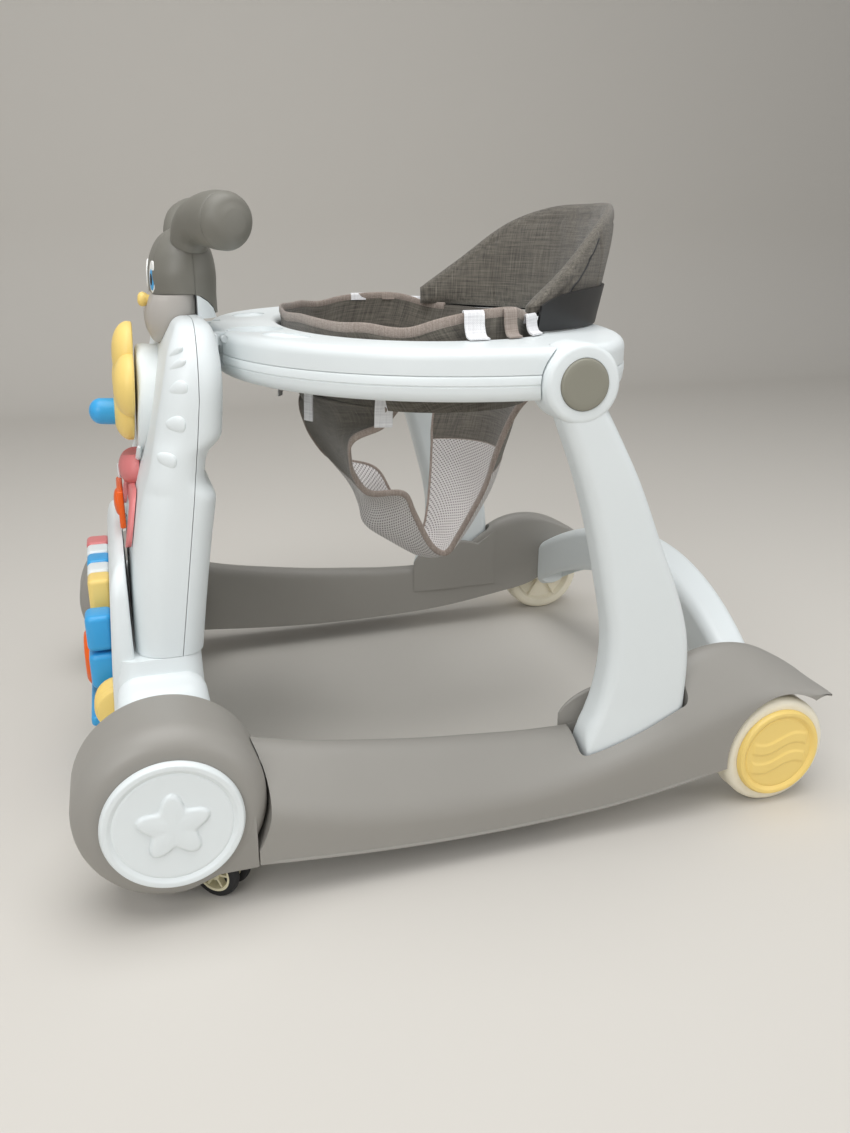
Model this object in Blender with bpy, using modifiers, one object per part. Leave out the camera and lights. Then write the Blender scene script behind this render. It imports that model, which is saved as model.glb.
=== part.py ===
"""Baby walker: a wheeled base, a sliding toy column, a lifting seat ring on two legs, and a fabric seat.

Metres, +Z up. -Y is the front (toy panel), +X is the child's left, and z = 0 is the floor.
"""
import math

import bmesh
import bpy
import numpy as np
from mathutils import Vector

# ---- driving dimensions -------------------------------------------------------------------------
GAP = 0.0004             # running gap between neighbouring solids
WALL = 0.003             # moulded wall thickness

DRUM_Y, DRUM_Z = -0.2825, 0.098      # centre of the front corner housings
DRUM_RADIUS = 0.080
DRUM_INNER_X, DRUM_OUTER_X = 0.2225, 0.303
CAP_RADIUS = 0.058
CAP_OUTER_X = 0.310

RAIL_IN, RAIL_OUT = 0.240, 0.302    # inner and outer faces of a side rail
RAIL_FRONT_Y, RAIL_REAR_Y = -0.2144, 0.361

REAR_WHEEL_Y, REAR_WHEEL_RADIUS = 0.3055, 0.057
REAR_WHEEL_IN, REAR_WHEEL_OUT = 0.2665, 0.2985
REAR_AXLE_RADIUS = 0.005

CASTER_X, CASTER_Y = 0.256, -0.258  # swivel axis
CASTER_TRAIL = 0.018
CASTER_RADIUS = 0.0225
CASTER_TURN = math.radians(50.0)    # how far the casters have swung round from +X towards +Y
CASTER_TRACK = 0.0095               # wheel centre to fork centre
POCKET_RADIUS, POCKET_TOP = 0.0445, 0.060

COLUMN_HALF = 0.1535                # half width of the toy column
COLUMN_BOTTOM, COLUMN_TOP = 0.177, 0.478
COLUMN_TRAVEL = 0.036               # height adjustment

RING_BOTTOM, RING_SPLIT, RING_TOP = 0.420, 0.4415, 0.463
RING_HALF_X, RING_CENTRE_Y = 0.288, 0.050
RING_FRONT, RING_REAR = 0.246, 0.140      # outer half lengths, forward and back of RING_CENTRE_Y
HOLE_HALF_X, HOLE_CENTRE_Y, HOLE_HALF_Y = 0.208, 0.005, 0.127
RING_POWER = 2.2                          # superellipse exponent of both outlines
HINGE_Y, HINGE_Z = -0.1905, 0.4565        # tray hinge axis

HUB_Y, HUB_Z, HUB_RADIUS = 0.070, 0.434, 0.033
HUB_IN, HUB_OUT = 0.2635, 0.298
LEG_STUB_BOTTOM = 0.0545


# ---- colours ------------------------------------------------------------------------------------
WHITE = (0.76, 0.80, 0.80)
GREY = (0.30, 0.29, 0.27)
DARK = (0.17, 0.16, 0.14)
MUZZLE = (0.40, 0.38, 0.37)
YELLOW = (0.92, 0.66, 0.20)
BLUE = (0.05, 0.38, 0.75)
ORANGE = (0.87, 0.13, 0.01)
PINK = (0.68, 0.20, 0.20)
CREAM = (0.86, 0.80, 0.66)
BLACK = (0.02, 0.02, 0.02)
STEEL = (0.60, 0.60, 0.60)
CLOTH = (0.09, 0.08, 0.065)
MESH_CLOTH = (0.60, 0.58, 0.56)
GREEN = (0.03, 0.22, 0.09)


# ---- scene and helpers --------------------------------------------------------------------------
for leftover in list(bpy.data.objects):
    bpy.data.objects.remove(leftover, do_unlink=True)


def new_collection(name):
    made = bpy.data.collections.new(name)
    bpy.context.scene.collection.children.link(made)
    return made


PARTS = new_collection("baby_walker")
CUTTERS = new_collection("cutters")


def add_object(name, mesh, look=None):
    """Link a mesh as a part with its own material, or as a hidden cutter when look is None.

    look is (linear colour, roughness, metallic).
    """
    made = bpy.data.objects.new(name, mesh)
    if look is None:
        CUTTERS.objects.link(made)
        made.hide_render = True
        made.display_type = "WIRE"
        return made
    PARTS.objects.link(made)
    colour, roughness, metallic = look
    finish = bpy.data.materials.new(name + "_finish")
    finish.use_nodes = True
    shader = finish.node_tree.nodes["Principled BSDF"]
    shader.inputs["Base Color"].default_value = (*colour, 1.0)
    shader.inputs["Roughness"].default_value = roughness
    shader.inputs["Metallic"].default_value = metallic
    mesh.materials.append(finish)
    mesh.shade_smooth()
    mesh.set_sharp_from_angle(angle=math.radians(35))
    return made


def satin(colour, roughness=0.45, metallic=0.0):
    return (colour, roughness, metallic)


def mesh_of(name, shape):
    """Turn a bmesh into a mesh and free it."""
    mesh = bpy.data.meshes.new(name)
    shape.to_mesh(mesh)
    shape.free()
    return mesh


def aim(obj, centre, axis):
    """Put obj's local Z along axis, at centre."""
    obj.location = centre
    obj.rotation_mode = "QUATERNION"
    obj.rotation_quaternion = Vector((0, 0, 1)).rotation_difference(Vector(axis))
    return obj


def box(name, corner, opposite, look=None):
    low = Vector(map(min, corner, opposite))
    high = Vector(map(max, corner, opposite))
    shape = bmesh.new()
    bmesh.ops.create_cube(shape, size=1.0)
    size = high - low
    for vert in shape.verts:
        vert.co = [c * s for c, s in zip(vert.co, size)]
    made = add_object(name, mesh_of(name, shape), look)
    made.location = (low + high) / 2
    return made


def cylinder(name, centre, axis, radius, length, look=None, sides=32, end_radius=None):
    shape = bmesh.new()
    bmesh.ops.create_cone(shape, cap_ends=True, segments=sides, radius1=radius,
                          radius2=radius if end_radius is None else end_radius, depth=length)
    return aim(add_object(name, mesh_of(name, shape), look), centre, axis)


def turned(name, profile, centre, axis, look=None, steps=32):
    """A profile of (radius, height) points, top to bottom down its outer side, turned round its axis."""
    mesh = bpy.data.meshes.new(name)
    edges = [(i, i + 1) for i in range(len(profile) - 1)]
    mesh.from_pydata([(r, 0.0, z) for r, z in profile], edges, [])
    made = add_object(name, mesh, look)
    screw = made.modifiers.new("turn", "SCREW")
    screw.steps = steps
    screw.render_steps = steps
    screw.use_merge_vertices = True
    screw.merge_threshold = 0.0001
    screw.use_smooth_shade = True
    return aim(made, centre, axis)


def loft(name, rings, look=None, closed=False):
    """Skin a row of equal-length point loops. Open rows get end caps, closed rows join up."""
    rings = np.asarray(rings, float)
    count, around = rings.shape[:2]
    shape = bmesh.new()
    verts = [[shape.verts.new(p) for p in ring] for ring in rings]
    for i in range(count if closed else count - 1):
        here, there = verts[i], verts[(i + 1) % count]
        for j in range(around):
            k = (j + 1) % around
            shape.faces.new((here[j], here[k], there[k], there[j]))
    if not closed:
        shape.faces.new(verts[0][::-1])
        shape.faces.new(verts[-1])
    bmesh.ops.recalc_face_normals(shape, faces=shape.faces)
    return add_object(name, mesh_of(name, shape), look)


def plate(name, outline, thickness, centre, facing, look=None):
    """A flat outline given as (across, up) points, facing along -Y or +X, with the centre in its mid-plane."""
    curve = bpy.data.curves.new(name, "CURVE")
    curve.dimensions = "2D"
    curve.fill_mode = "BOTH"
    curve.extrude = thickness / 2
    spline = curve.splines.new("POLY")
    spline.points.add(len(outline) - 1)
    for point, (across, up) in zip(spline.points, outline):
        point.co = (across, up, 0.0, 1.0)
    spline.use_cyclic_u = True
    return solid_from_curve(name, curve, look, centre, facing)


def solid_from_curve(name, curve, look=None, centre=(0, 0, 0), facing=None):
    """The evaluated curve as a welded mesh object."""
    guide = bpy.data.objects.new(name + "_guide", curve)
    bpy.context.scene.collection.objects.link(guide)
    bpy.context.view_layer.update()
    graph = bpy.context.evaluated_depsgraph_get()
    mesh = bpy.data.meshes.new_from_object(guide.evaluated_get(graph))
    bpy.data.objects.remove(guide, do_unlink=True)
    shape = bmesh.new()
    shape.from_mesh(mesh)
    bmesh.ops.remove_doubles(shape, verts=shape.verts, dist=0.00002)
    bmesh.ops.recalc_face_normals(shape, faces=shape.faces)
    shape.to_mesh(mesh)
    shape.free()
    mesh.materials.clear()
    made = add_object(name, mesh, look)
    made.location = centre
    made.rotation_euler = {None: (0, 0, 0), "-Y": (math.pi / 2, 0, 0),
                           "+X": (math.pi / 2, 0, math.pi / 2),
                           "-X": (math.pi / 2, 0, -math.pi / 2)}[facing]
    return made


def tube(name, points, radii, look=None, sides=2):
    """A smooth bar through points whose thickness follows radii."""
    curve = bpy.data.curves.new(name, "CURVE")
    curve.dimensions = "3D"
    curve.bevel_depth = 1.0
    curve.bevel_resolution = sides
    curve.use_fill_caps = True
    spline = curve.splines.new("POLY")
    spline.points.add(len(points) - 1)
    for point, place, radius in zip(spline.points, points, radii):
        point.co = (*place, 1.0)
        point.radius = radius
    return solid_from_curve(name, curve, look)


def boolean(target, other, operation):
    change = target.modifiers.new(operation.lower() + "_" + other.name, "BOOLEAN")
    change.operation = operation
    change.solver = "EXACT"
    change.object = other
    return target


def cut(target, *others):
    for other in others:
        boolean(target, other, "DIFFERENCE")
    return target


def join(target, *others):
    for other in others:
        boolean(target, other, "UNION")
    return target


def keep_inside(target, other):
    return boolean(target, other, "INTERSECT")


def soften(target, width, segments=2, angle=40.0):
    bevel = target.modifiers.new("soft_edges", "BEVEL")
    bevel.width = width
    bevel.segments = segments
    bevel.angle_limit = math.radians(angle)
    bevel.use_clamp_overlap = True
    return target


def through(xs, ys, at):
    """A smooth curve through (xs, ys), read at the given places: cubic pieces with averaged slopes."""
    xs, ys, at = np.asarray(xs, float), np.asarray(ys, float), np.asarray(at, float)
    steps = np.diff(ys) / np.diff(xs)
    slopes = np.concatenate([steps[:1], (steps[1:] + steps[:-1]) / 2, steps[-1:]])
    i = np.clip(np.searchsorted(xs, at) - 1, 0, len(xs) - 2)
    width = xs[i + 1] - xs[i]
    t = np.clip((at - xs[i]) / width, 0.0, 1.0)
    return ((2 * t**3 - 3 * t**2 + 1) * ys[i] + (t**3 - 2 * t**2 + t) * width * slopes[i]
            + (3 * t**2 - 2 * t**3) * ys[i + 1] + (t**3 - t**2) * width * slopes[i + 1])


def rounded_rectangle(low_u, high_u, low_v, high_v, radius, corner_steps=3):
    """Points round a rectangle with quarter-circle corners, anticlockwise in (u, v)."""
    radius = min(radius, (high_u - low_u) / 2.02, (high_v - low_v) / 2.02)
    points = []
    corners = ((high_u, high_v, 0), (low_u, high_v, 1), (low_u, low_v, 2), (high_u, low_v, 3))
    for u, v, quarter in corners:
        middle_u = u - radius if u == high_u else u + radius
        middle_v = v - radius if v == high_v else v + radius
        for step in range(corner_steps + 1):
            angle = (quarter + step / corner_steps) * math.pi / 2
            points.append((middle_u + radius * math.cos(angle), middle_v + radius * math.sin(angle)))
    return points


def body(name, place, pieces, parent=None):
    """An empty on the joint's axis that carries the pieces of one moving body."""
    empty = bpy.data.objects.new(name + "_axis", None)
    PARTS.objects.link(empty)
    empty.empty_display_size = 0.02
    if parent is not None:
        empty.parent = parent
        empty.location = Vector(place) - BODY_PLACES[parent.name]
    else:
        empty.location = place
    BODY_PLACES[empty.name] = Vector(place)
    for piece in pieces:
        piece.parent = empty
        piece.location = Vector(piece.location) - Vector(place)
    return empty


BODY_PLACES = {}

SIDES = (("left", 1.0), ("right", -1.0))


# ---- base: rails, drums, bridge -----------------------------------------------------------------
RAIL_Y = (-0.2144, -0.17, -0.12, -0.06, 0.0, 0.06, 0.11, 0.16, 0.20, 0.225, 0.25, 0.275, 0.30,
          0.33, 0.35, 0.361)
RAIL_LOW = (0.040, 0.036, 0.032, 0.029, 0.028, 0.029, 0.031, 0.036, 0.042, 0.046, 0.050, 0.057,
            0.072, 0.101, 0.1125, 0.1135)
RAIL_CREASE = (0.090, 0.078, 0.066, 0.060, 0.058, 0.061, 0.070, 0.082, 0.094, 0.102, 0.110, 0.117,
               0.121, 0.121, 0.118, 0.1145)
RAIL_CREST = (0.136, 0.125, 0.1165, 0.108, 0.102, 0.097, 0.0975, 0.117, 0.143, 0.156, 0.161, 0.160,
              0.153, 0.137, 0.124, 0.1155)


def rail_section(y, side, inset=0.0, below=0.0):
    """The rail's cross-section at y: a vertical outer wall, a crease, and a top that rises inwards."""
    low = float(through(RAIL_Y, RAIL_LOW, y)) - below
    crease = float(through(RAIL_Y, RAIL_CREASE, y))
    crest = float(through(RAIL_Y, RAIL_CREST, y)) - inset
    crease = min(crease - inset, crest - 0.0005)
    rise = crest - crease
    inner, outer = RAIL_IN + inset, RAIL_OUT - inset
    points = [(inner, low), (inner, crest - 0.35 * rise), (inner + 0.003, crest - 0.10 * rise),
              (inner + 0.009, crest), (inner + 0.018, crest - 0.02 * rise),
              (inner + 0.032, crest - 0.30 * rise), (outer - 0.014, crest - 0.62 * rise),
              (outer - 0.005, crease + 0.15 * rise), (outer - 0.0008, crease - 0.002 * (rise > 0.004)),
              (outer, low)]
    return [(side * x, y, z) for x, z in points]


def leg_outline(z):
    """Front and rear edges of a leg at height z."""
    front = through((0.050, 0.100, 0.115, 0.140, 0.191, 0.261, 0.343, 0.406),
                    (0.104, 0.102, 0.108, 0.115, 0.118, 0.104, 0.080, 0.054), z)
    rear = through((0.050, 0.120, 0.180, 0.219, 0.288, 0.348, 0.415),
                   (0.2065, 0.2065, 0.203, 0.192, 0.161, 0.133, 0.095), z)
    return float(front), float(rear)


def leg_shift(z):
    """How far the leg's middle plane stands out along X at height z."""
    return float(np.interp(z, (0.05, 0.12, 0.40, 0.45), (0.2650, 0.2655, 0.2805, 0.2805)))


def make_rail(label, side):
    stations = np.concatenate([np.linspace(RAIL_FRONT_Y, 0.10, 9)[:-1], np.linspace(0.10, RAIL_REAR_Y, 15)])
    rail = loft(f"rail_{label}", [rail_section(y, side) for y in stations], satin(GREY, 0.5))
    hollow_y = [y for y in stations if -0.20 < y < 0.08]
    hollow = loft(f"rail_hollow_{label}", [rail_section(y, side, 0.0045, 0.03) for y in hollow_y])
    arch = cylinder(f"wheel_arch_{label}", (side * 0.300, REAR_WHEEL_Y + 0.002, 0.059), (1, 0, 0), 0.0615, 0.072, sides=36)
    drum_seat = cylinder(f"drum_seat_{label}", (side * 0.27, DRUM_Y, DRUM_Z), (1, 0, 0),
                         DRUM_RADIUS + 0.0010, 0.10, sides=40)
    well_front, well_rear = leg_outline(0.06)
    well = box(f"leg_well_{label}", sided(side, 0.2450, well_front - 0.0095, 0.0522),
               sided(side, 0.2850, well_rear + 0.0018, 0.25))
    axle_hole = cylinder(f"axle_hole_{label}", (side * 0.25, REAR_WHEEL_Y, REAR_WHEEL_RADIUS), (1, 0, 0),
                         REAR_AXLE_RADIUS + GAP, 0.05, sides=24)
    return cut(rail, hollow, arch, drum_seat, well, axle_hole)


def sided(side, x, y, z):
    return (side * x, y, z)


def make_drum(label, side):
    width = DRUM_OUTER_X - DRUM_INNER_X
    edge = [(0.0, width), (CAP_RADIUS + 0.001, width)]
    for step in range(5):
        angle = step / 4 * math.pi / 2
        edge.append((0.060 + 0.020 * math.sin(angle), width - 0.026 + 0.026 * math.cos(angle)))
    for step in range(3):
        angle = step / 2 * math.pi / 2
        edge.append((0.068 + 0.012 * math.cos(angle), 0.012 - 0.012 * math.sin(angle)))
    edge.append((0.0, 0.0))
    drum = turned(f"corner_housing_{label}", edge, sided(side, DRUM_INNER_X, DRUM_Y, DRUM_Z), (side, 0, 0),
                  satin(GREY, 0.5), steps=36)
    skirt = box(f"drum_skirt_{label}", sided(side, 0.242, -0.27, 0.0375), sided(side, 0.3015, -0.2150, 0.088))
    pocket = cylinder(f"caster_pocket_{label}", sided(side, CASTER_X, CASTER_Y, POCKET_TOP / 2 - 0.01),
                      (0, 0, 1), POCKET_RADIUS, POCKET_TOP + 0.02, sides=32)
    stem_hole = cylinder(f"stem_hole_{label}", sided(side, CASTER_X, CASTER_Y, 0.07), (0, 0, 1),
                         0.0050 + GAP, 0.05, sides=20)
    join(drum, skirt)
    return cut(drum, pocket, stem_hole)


def star(radius, notch):
    """A soft five-pointed star outline, one point up."""
    turns = np.linspace(0, 2 * np.pi, 40, endpoint=False)
    reach = notch + (radius - notch) * (0.5 + 0.5 * np.cos(5 * turns)) ** 1.3
    return [(r * math.sin(t), r * math.cos(t)) for r, t in zip(reach, turns)]


def make_cap(label, side):
    back = DRUM_OUTER_X + GAP
    depth = CAP_OUTER_X - back
    profile = [(0.0, depth - 0.0025), (0.047, depth - 0.0025), (0.0495, depth - 0.001), (0.052, depth),
               (0.055, depth), (CAP_RADIUS - 0.0008, depth - 0.0015), (CAP_RADIUS, depth - 0.003),
               (CAP_RADIUS, 0.0), (0.0, 0.0)]
    cap = turned(f"star_cap_{label}", profile, sided(side, back, DRUM_Y, DRUM_Z - 0.002), (side, 0, 0),
                 satin(WHITE, 0.4), steps=36)
    relief = plate(f"star_relief_{label}", star(0.031, 0.018), 0.005,
                   sided(side, back + depth - 0.0032, DRUM_Y, DRUM_Z - 0.004), "+X" if side > 0 else "-X")
    return join(cap, relief)


def base_section(x):
    """The bridge between the drums: a block that flares as it nears them."""
    out = abs(x)
    front = float(np.interp(out, (0.0, 0.155, 0.19, 0.222), (-0.318, -0.318, -0.322, -0.330)))
    rear = float(np.interp(out, (0.0, 0.155, 0.19, 0.222), (-0.2385, -0.2385, -0.234, -0.226)))
    low = float(np.interp(out, (0.0, 0.155, 0.222), (0.060, 0.060, 0.045)))
    top = float(through((0.0, 0.152, 0.165, 0.185, 0.205, 0.222), (0.140, 0.140, 0.158, 0.152, 0.150, 0.152), out))
    return [(x, y, z) for y, z in rounded_rectangle(front, rear, low, top, 0.022)]


def make_base():
    xs = [-0.2219, -0.205, -0.185, -0.170, -0.158, -0.150, 0.0, 0.150, 0.158, 0.170, 0.185, 0.205, 0.2219]
    base = loft("front_base", [base_section(x) for x in xs], satin(WHITE, 0.4))
    collar = loft("base_collar", [[(x, y, z) for x, y in rounded_rectangle(-0.165, 0.165, -0.3180, -0.2385, 0.020)]
                                  for z in (0.10, 0.1500)]
                  + [[(x, y, z) for x, y in rounded_rectangle(-half, half, -0.3180, -0.2385, 0.020)]
                     for z, half in ((0.160, 0.158), (0.1765, 0.1540))])
    tongue = box("base_tongue", (-0.1400, -0.2870, 0.12), (0.1400, -0.2425, 0.255))
    housing = loft("key_housing", [[(x, y, z) for x, y in rounded_rectangle(-half, half, front, -0.3000, 0.007)]
                                   for z, half, front in ((0.10, 0.148, -0.3245), (0.17, 0.148, -0.3205),
                                                          (0.235, 0.144, -0.3160), (0.256, 0.132, -0.3110),
                                                          (0.262, 0.118, -0.3060))])
    return join(base, collar, tongue, housing)


def make_crossbar():
    """An arched bar between the rails, higher and further back in the middle."""
    rings = []
    for x in np.linspace(-0.2395, 0.2395, 15):
        arch = 1 - (x / 0.24) ** 2
        rings.append([(x, y, z) for y, z in rounded_rectangle(
            0.284 + 0.012 * arch, 0.322 + 0.024 * arch, 0.050 + 0.076 * arch, 0.118 + 0.072 * arch, 0.014)])
    bar = loft("rear_crossbar", rings, satin(WHITE, 0.4))
    hollow = []
    for x in np.linspace(-0.232, 0.232, 13):
        arch = 1 - (x / 0.24) ** 2
        hollow.append([(x, y, z) for y, z in rounded_rectangle(
            0.287 + 0.012 * arch, 0.319 + 0.024 * arch, 0.02 + 0.076 * arch, 0.115 + 0.072 * arch, 0.012)])
    return cut(bar, loft("crossbar_hollow", hollow))


# ---- wheels -------------------------------------------------------------------------------------
def make_rear_wheel(label, side):
    middle = (REAR_WHEEL_IN + REAR_WHEEL_OUT) / 2
    half = (REAR_WHEEL_OUT - REAR_WHEEL_IN) / 2
    tread = [(REAR_AXLE_RADIUS + GAP, half), (0.046, half), (0.050, half - 0.0005), (0.0545, half - 0.003),
             (REAR_WHEEL_RADIUS, half - 0.008), (REAR_WHEEL_RADIUS, -half + 0.008), (0.0545, -half + 0.003),
             (0.050, -half + 0.0005), (0.044, -half), (0.040, -half + 0.008), (0.016, -half + 0.008),
             (0.014, -half), (REAR_AXLE_RADIUS + GAP, -half), (REAR_AXLE_RADIUS + GAP, half)]
    wheel = turned(f"rear_wheel_{label}", tread, sided(side, middle, REAR_WHEEL_Y, REAR_WHEEL_RADIUS),
                   (side, 0, 0), satin(CREAM, 0.5), steps=36)
    depth = 0.0052
    rim = [(0.0, depth - 0.0020), (0.0385, depth - 0.0020), (0.0405, depth - 0.0005), (0.0425, depth),
           (0.0450, depth - 0.0005), (0.0465, depth - 0.0025), (0.0465, 0.0), (0.0, 0.0)]
    cap = turned(f"wheel_cap_{label}", rim, sided(side, REAR_WHEEL_OUT + GAP, REAR_WHEEL_Y, REAR_WHEEL_RADIUS),
                 (side, 0, 0), satin(YELLOW, 0.45), steps=36)
    axle = cylinder(f"rear_axle_{label}", sided(side, 0.26745, REAR_WHEEL_Y, REAR_WHEEL_RADIUS), (1, 0, 0),
                    REAR_AXLE_RADIUS, 0.0540, satin(STEEL, 0.3, 1.0), sides=24)
    return [wheel, cap, axle]


def make_caster(label, side):
    turn = Vector((side * math.cos(CASTER_TURN), math.sin(CASTER_TURN), 0))
    across = Vector((-turn.y, turn.x, 0))
    stem = Vector((side * CASTER_X, CASTER_Y, 0))
    hub = stem + turn * CASTER_TRAIL + Vector((0, 0, CASTER_RADIUS))
    fork = cylinder(f"caster_fork_{label}", stem + Vector((0, 0, 0.0525)), (0, 0, 1), 0.017, 0.006,
                    satin(BLACK, 0.5), sides=28)
    post = cylinder(f"caster_stem_{label}", stem + Vector((0, 0, 0.068)), (0, 0, 1), 0.0050, 0.036, sides=20)
    arm = loft(f"caster_arm_{label}", [
        [stem + turn * u + across * v + Vector((0, 0, z)) for u, v in
         ((back, -0.0030), (front, -0.0030), (front, 0.0030), (back, 0.0030))]
        for z, back, front in ((0.0525, -0.012, 0.012), (0.034, 0.004, 0.0235), (0.0155, 0.010, 0.0255))])
    axle = cylinder(f"caster_axle_{label}", hub, across, 0.0021, 0.029, sides=16)
    join(fork, post, arm, axle)
    wheels = []
    for place, sign in (("outer", -side), ("inner", side)):
        middle = hub + across * (sign * CASTER_TRACK)
        tread = [(0.0025, 0.005), (0.016, 0.005), (0.021, 0.0042), (CASTER_RADIUS, 0.0015),
                 (CASTER_RADIUS, -0.0015), (0.021, -0.0042), (0.016, -0.005), (0.0025, -0.005), (0.0025, 0.005)]
        wheels.append(turned(f"caster_wheel_{place}_{label}", tread, middle, across * sign, satin(BLACK, 0.6),
                             steps=20))
    return fork, wheels, stem


# ---- toy column ---------------------------------------------------------------------------------
def column_edges(z):
    """Front and rear of the column at height z, with the grip channel across its back."""
    front = float(through((0.177, 0.245, 0.283, 0.321, 0.348, 0.400, 0.430, 0.454, 0.478),
                          (-0.2985, -0.2945, -0.2885, -0.2800, -0.2715, -0.2590, -0.2525, -0.2480, -0.2405), z))
    rear = float(np.interp(z, (0.177, 0.228, 0.286, 0.326, 0.386, 0.463, 0.478),
                           (-0.2360, -0.2290, -0.2200, -0.2130, -0.2040, -0.2030, -0.2080)))
    channel = 0.013 * math.exp(-((z - 0.352) / 0.021) ** 4)
    return front, rear - channel


def column_half(z):
    """Half width of the column: straight sides under rounded shoulders."""
    if z < 0.405:
        return COLUMN_HALF
    fall = (z - 0.405) / (COLUMN_TOP - 0.405)
    return COLUMN_HALF - 0.052 * (1 - math.sqrt(max(0.0, 1 - min(fall, 1.0) ** 2.4)))


def column_section(z, inset=0.0):
    front, rear = column_edges(z)
    half = column_half(z) - inset
    return [(x, y, z) for x, y in rounded_rectangle(-half, half, front + inset, rear - inset, 0.024 - inset)]


COLUMN_Z = (COLUMN_BOTTOM, 0.215, 0.255, 0.290, 0.318, 0.328, 0.338, 0.352, 0.366, 0.376, 0.386, 0.405, 0.430,
            0.448, 0.460, 0.470, 0.476, COLUMN_TOP)


def column_shell(name, front_half):
    """One moulded half of the column, split on a plane that leans with it."""
    shell = loft(name, [column_section(z) for z in COLUMN_Z], satin(WHITE, 0.4))
    inner_z = [COLUMN_BOTTOM - 0.01] + [z for z in COLUMN_Z[1:-3]] + [0.4735]
    hollow = loft(name + "_hollow", [column_section(z, WALL) for z in inner_z])
    seam = [(-0.2590, 0.16), (-0.2430, 0.269), (-0.2310, 0.352), (-0.2240, 0.413), (-0.2200, 0.50)]
    edge = -0.0002 if front_half else 0.0002
    far = 0.2 if front_half else -0.2
    outline = [[(x, y + edge, z), (x, y + far, z)] for x in (-0.2, 0.2) for y, z in seam]
    rings = [[outline[i][0], outline[i][1], outline[i + len(seam)][1], outline[i + len(seam)][0]]
             for i in range(len(seam))]
    cut(shell, hollow, loft(name + "_seam", rings))
    return shell


def make_column():
    front = column_shell("column_front_shell", True)
    rear = column_shell("column_rear_shell", False)
    arm_slot = box("bracket_screw_clear", (-0.004, -0.24, 0.436), (0.004, -0.19, 0.444))
    cut(rear, arm_slot)
    return front, rear


def make_hinge_bracket():
    """The plate on the column's back whose two ears carry the tray."""
    plate_low, plate_high = (-0.100, -0.2022, 0.4230), (0.100, -0.1992, 0.4640)
    bracket = soften(box("tray_hinge_bracket", plate_low, plate_high, satin(WHITE, 0.4)), 0.001, 1)
    for label, x in (("a", -0.060), ("b", 0.060)):
        ear = box("bracket_ear_" + label, (x - 0.004, -0.2010, 0.4500), (x + 0.004, -0.1855, 0.4620))
        join(bracket, ear)
    bore = cylinder("bracket_bore", (0, HINGE_Y, HINGE_Z), (1, 0, 0), 0.0034, 0.16, sides=20)
    return cut(bracket, bore)


# ---- seat ring ----------------------------------------------------------------------------------
def outline_point(turn, half_x, front, rear, centre_y):
    """A point of the superellipse outline; turn 0 is +X and a quarter turn is the rear."""
    c, s = math.cos(turn), math.sin(turn)
    power = 2 / RING_POWER
    x = half_x * math.copysign(abs(c) ** power, c)
    y = centre_y + (rear if s > 0 else front) * math.copysign(abs(s) ** power, s)
    return x, y


def ring_rings(seam, crown, outer_inset, inner_inset, edge, turns):
    """Cross-sections between the hole and the outer outline: square at z = seam, rounded at z = crown."""
    inward = math.copysign(edge, seam - crown)
    rings = []
    for turn in turns:
        ox, oy = outline_point(turn, RING_HALF_X - outer_inset, RING_FRONT - outer_inset,
                               RING_REAR - outer_inset, RING_CENTRE_Y)
        ix, iy = outline_point(turn, HOLE_HALF_X + inner_inset, HOLE_HALF_Y + inner_inset,
                               HOLE_HALF_Y + inner_inset, HOLE_CENTRE_Y)
        span = math.hypot(ox - ix, oy - iy)
        section = [(0.0, seam), (span, seam)]
        for bend in (0.0, 0.25, 0.5):
            turned_in = 1.0 - math.cos(bend * math.pi), 1.0 - math.sin(bend * math.pi)
            section.append((span - edge * turned_in[0], crown + inward * turned_in[1]))
        for bend in (0.5, 0.25, 0.0):
            turned_in = 1.0 - math.cos(bend * math.pi), 1.0 - math.sin(bend * math.pi)
            section.append((edge * turned_in[0], crown + inward * turned_in[1]))
        rings.append([(ix + (ox - ix) * along / span, iy + (oy - iy) * along / span, z) for along, z in section])
    return rings


RING_TURNS = np.linspace(0, 2 * np.pi, 36, endpoint=False)
POCKET_TURNS = np.linspace(math.radians(-52), math.radians(232), 26)


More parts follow.
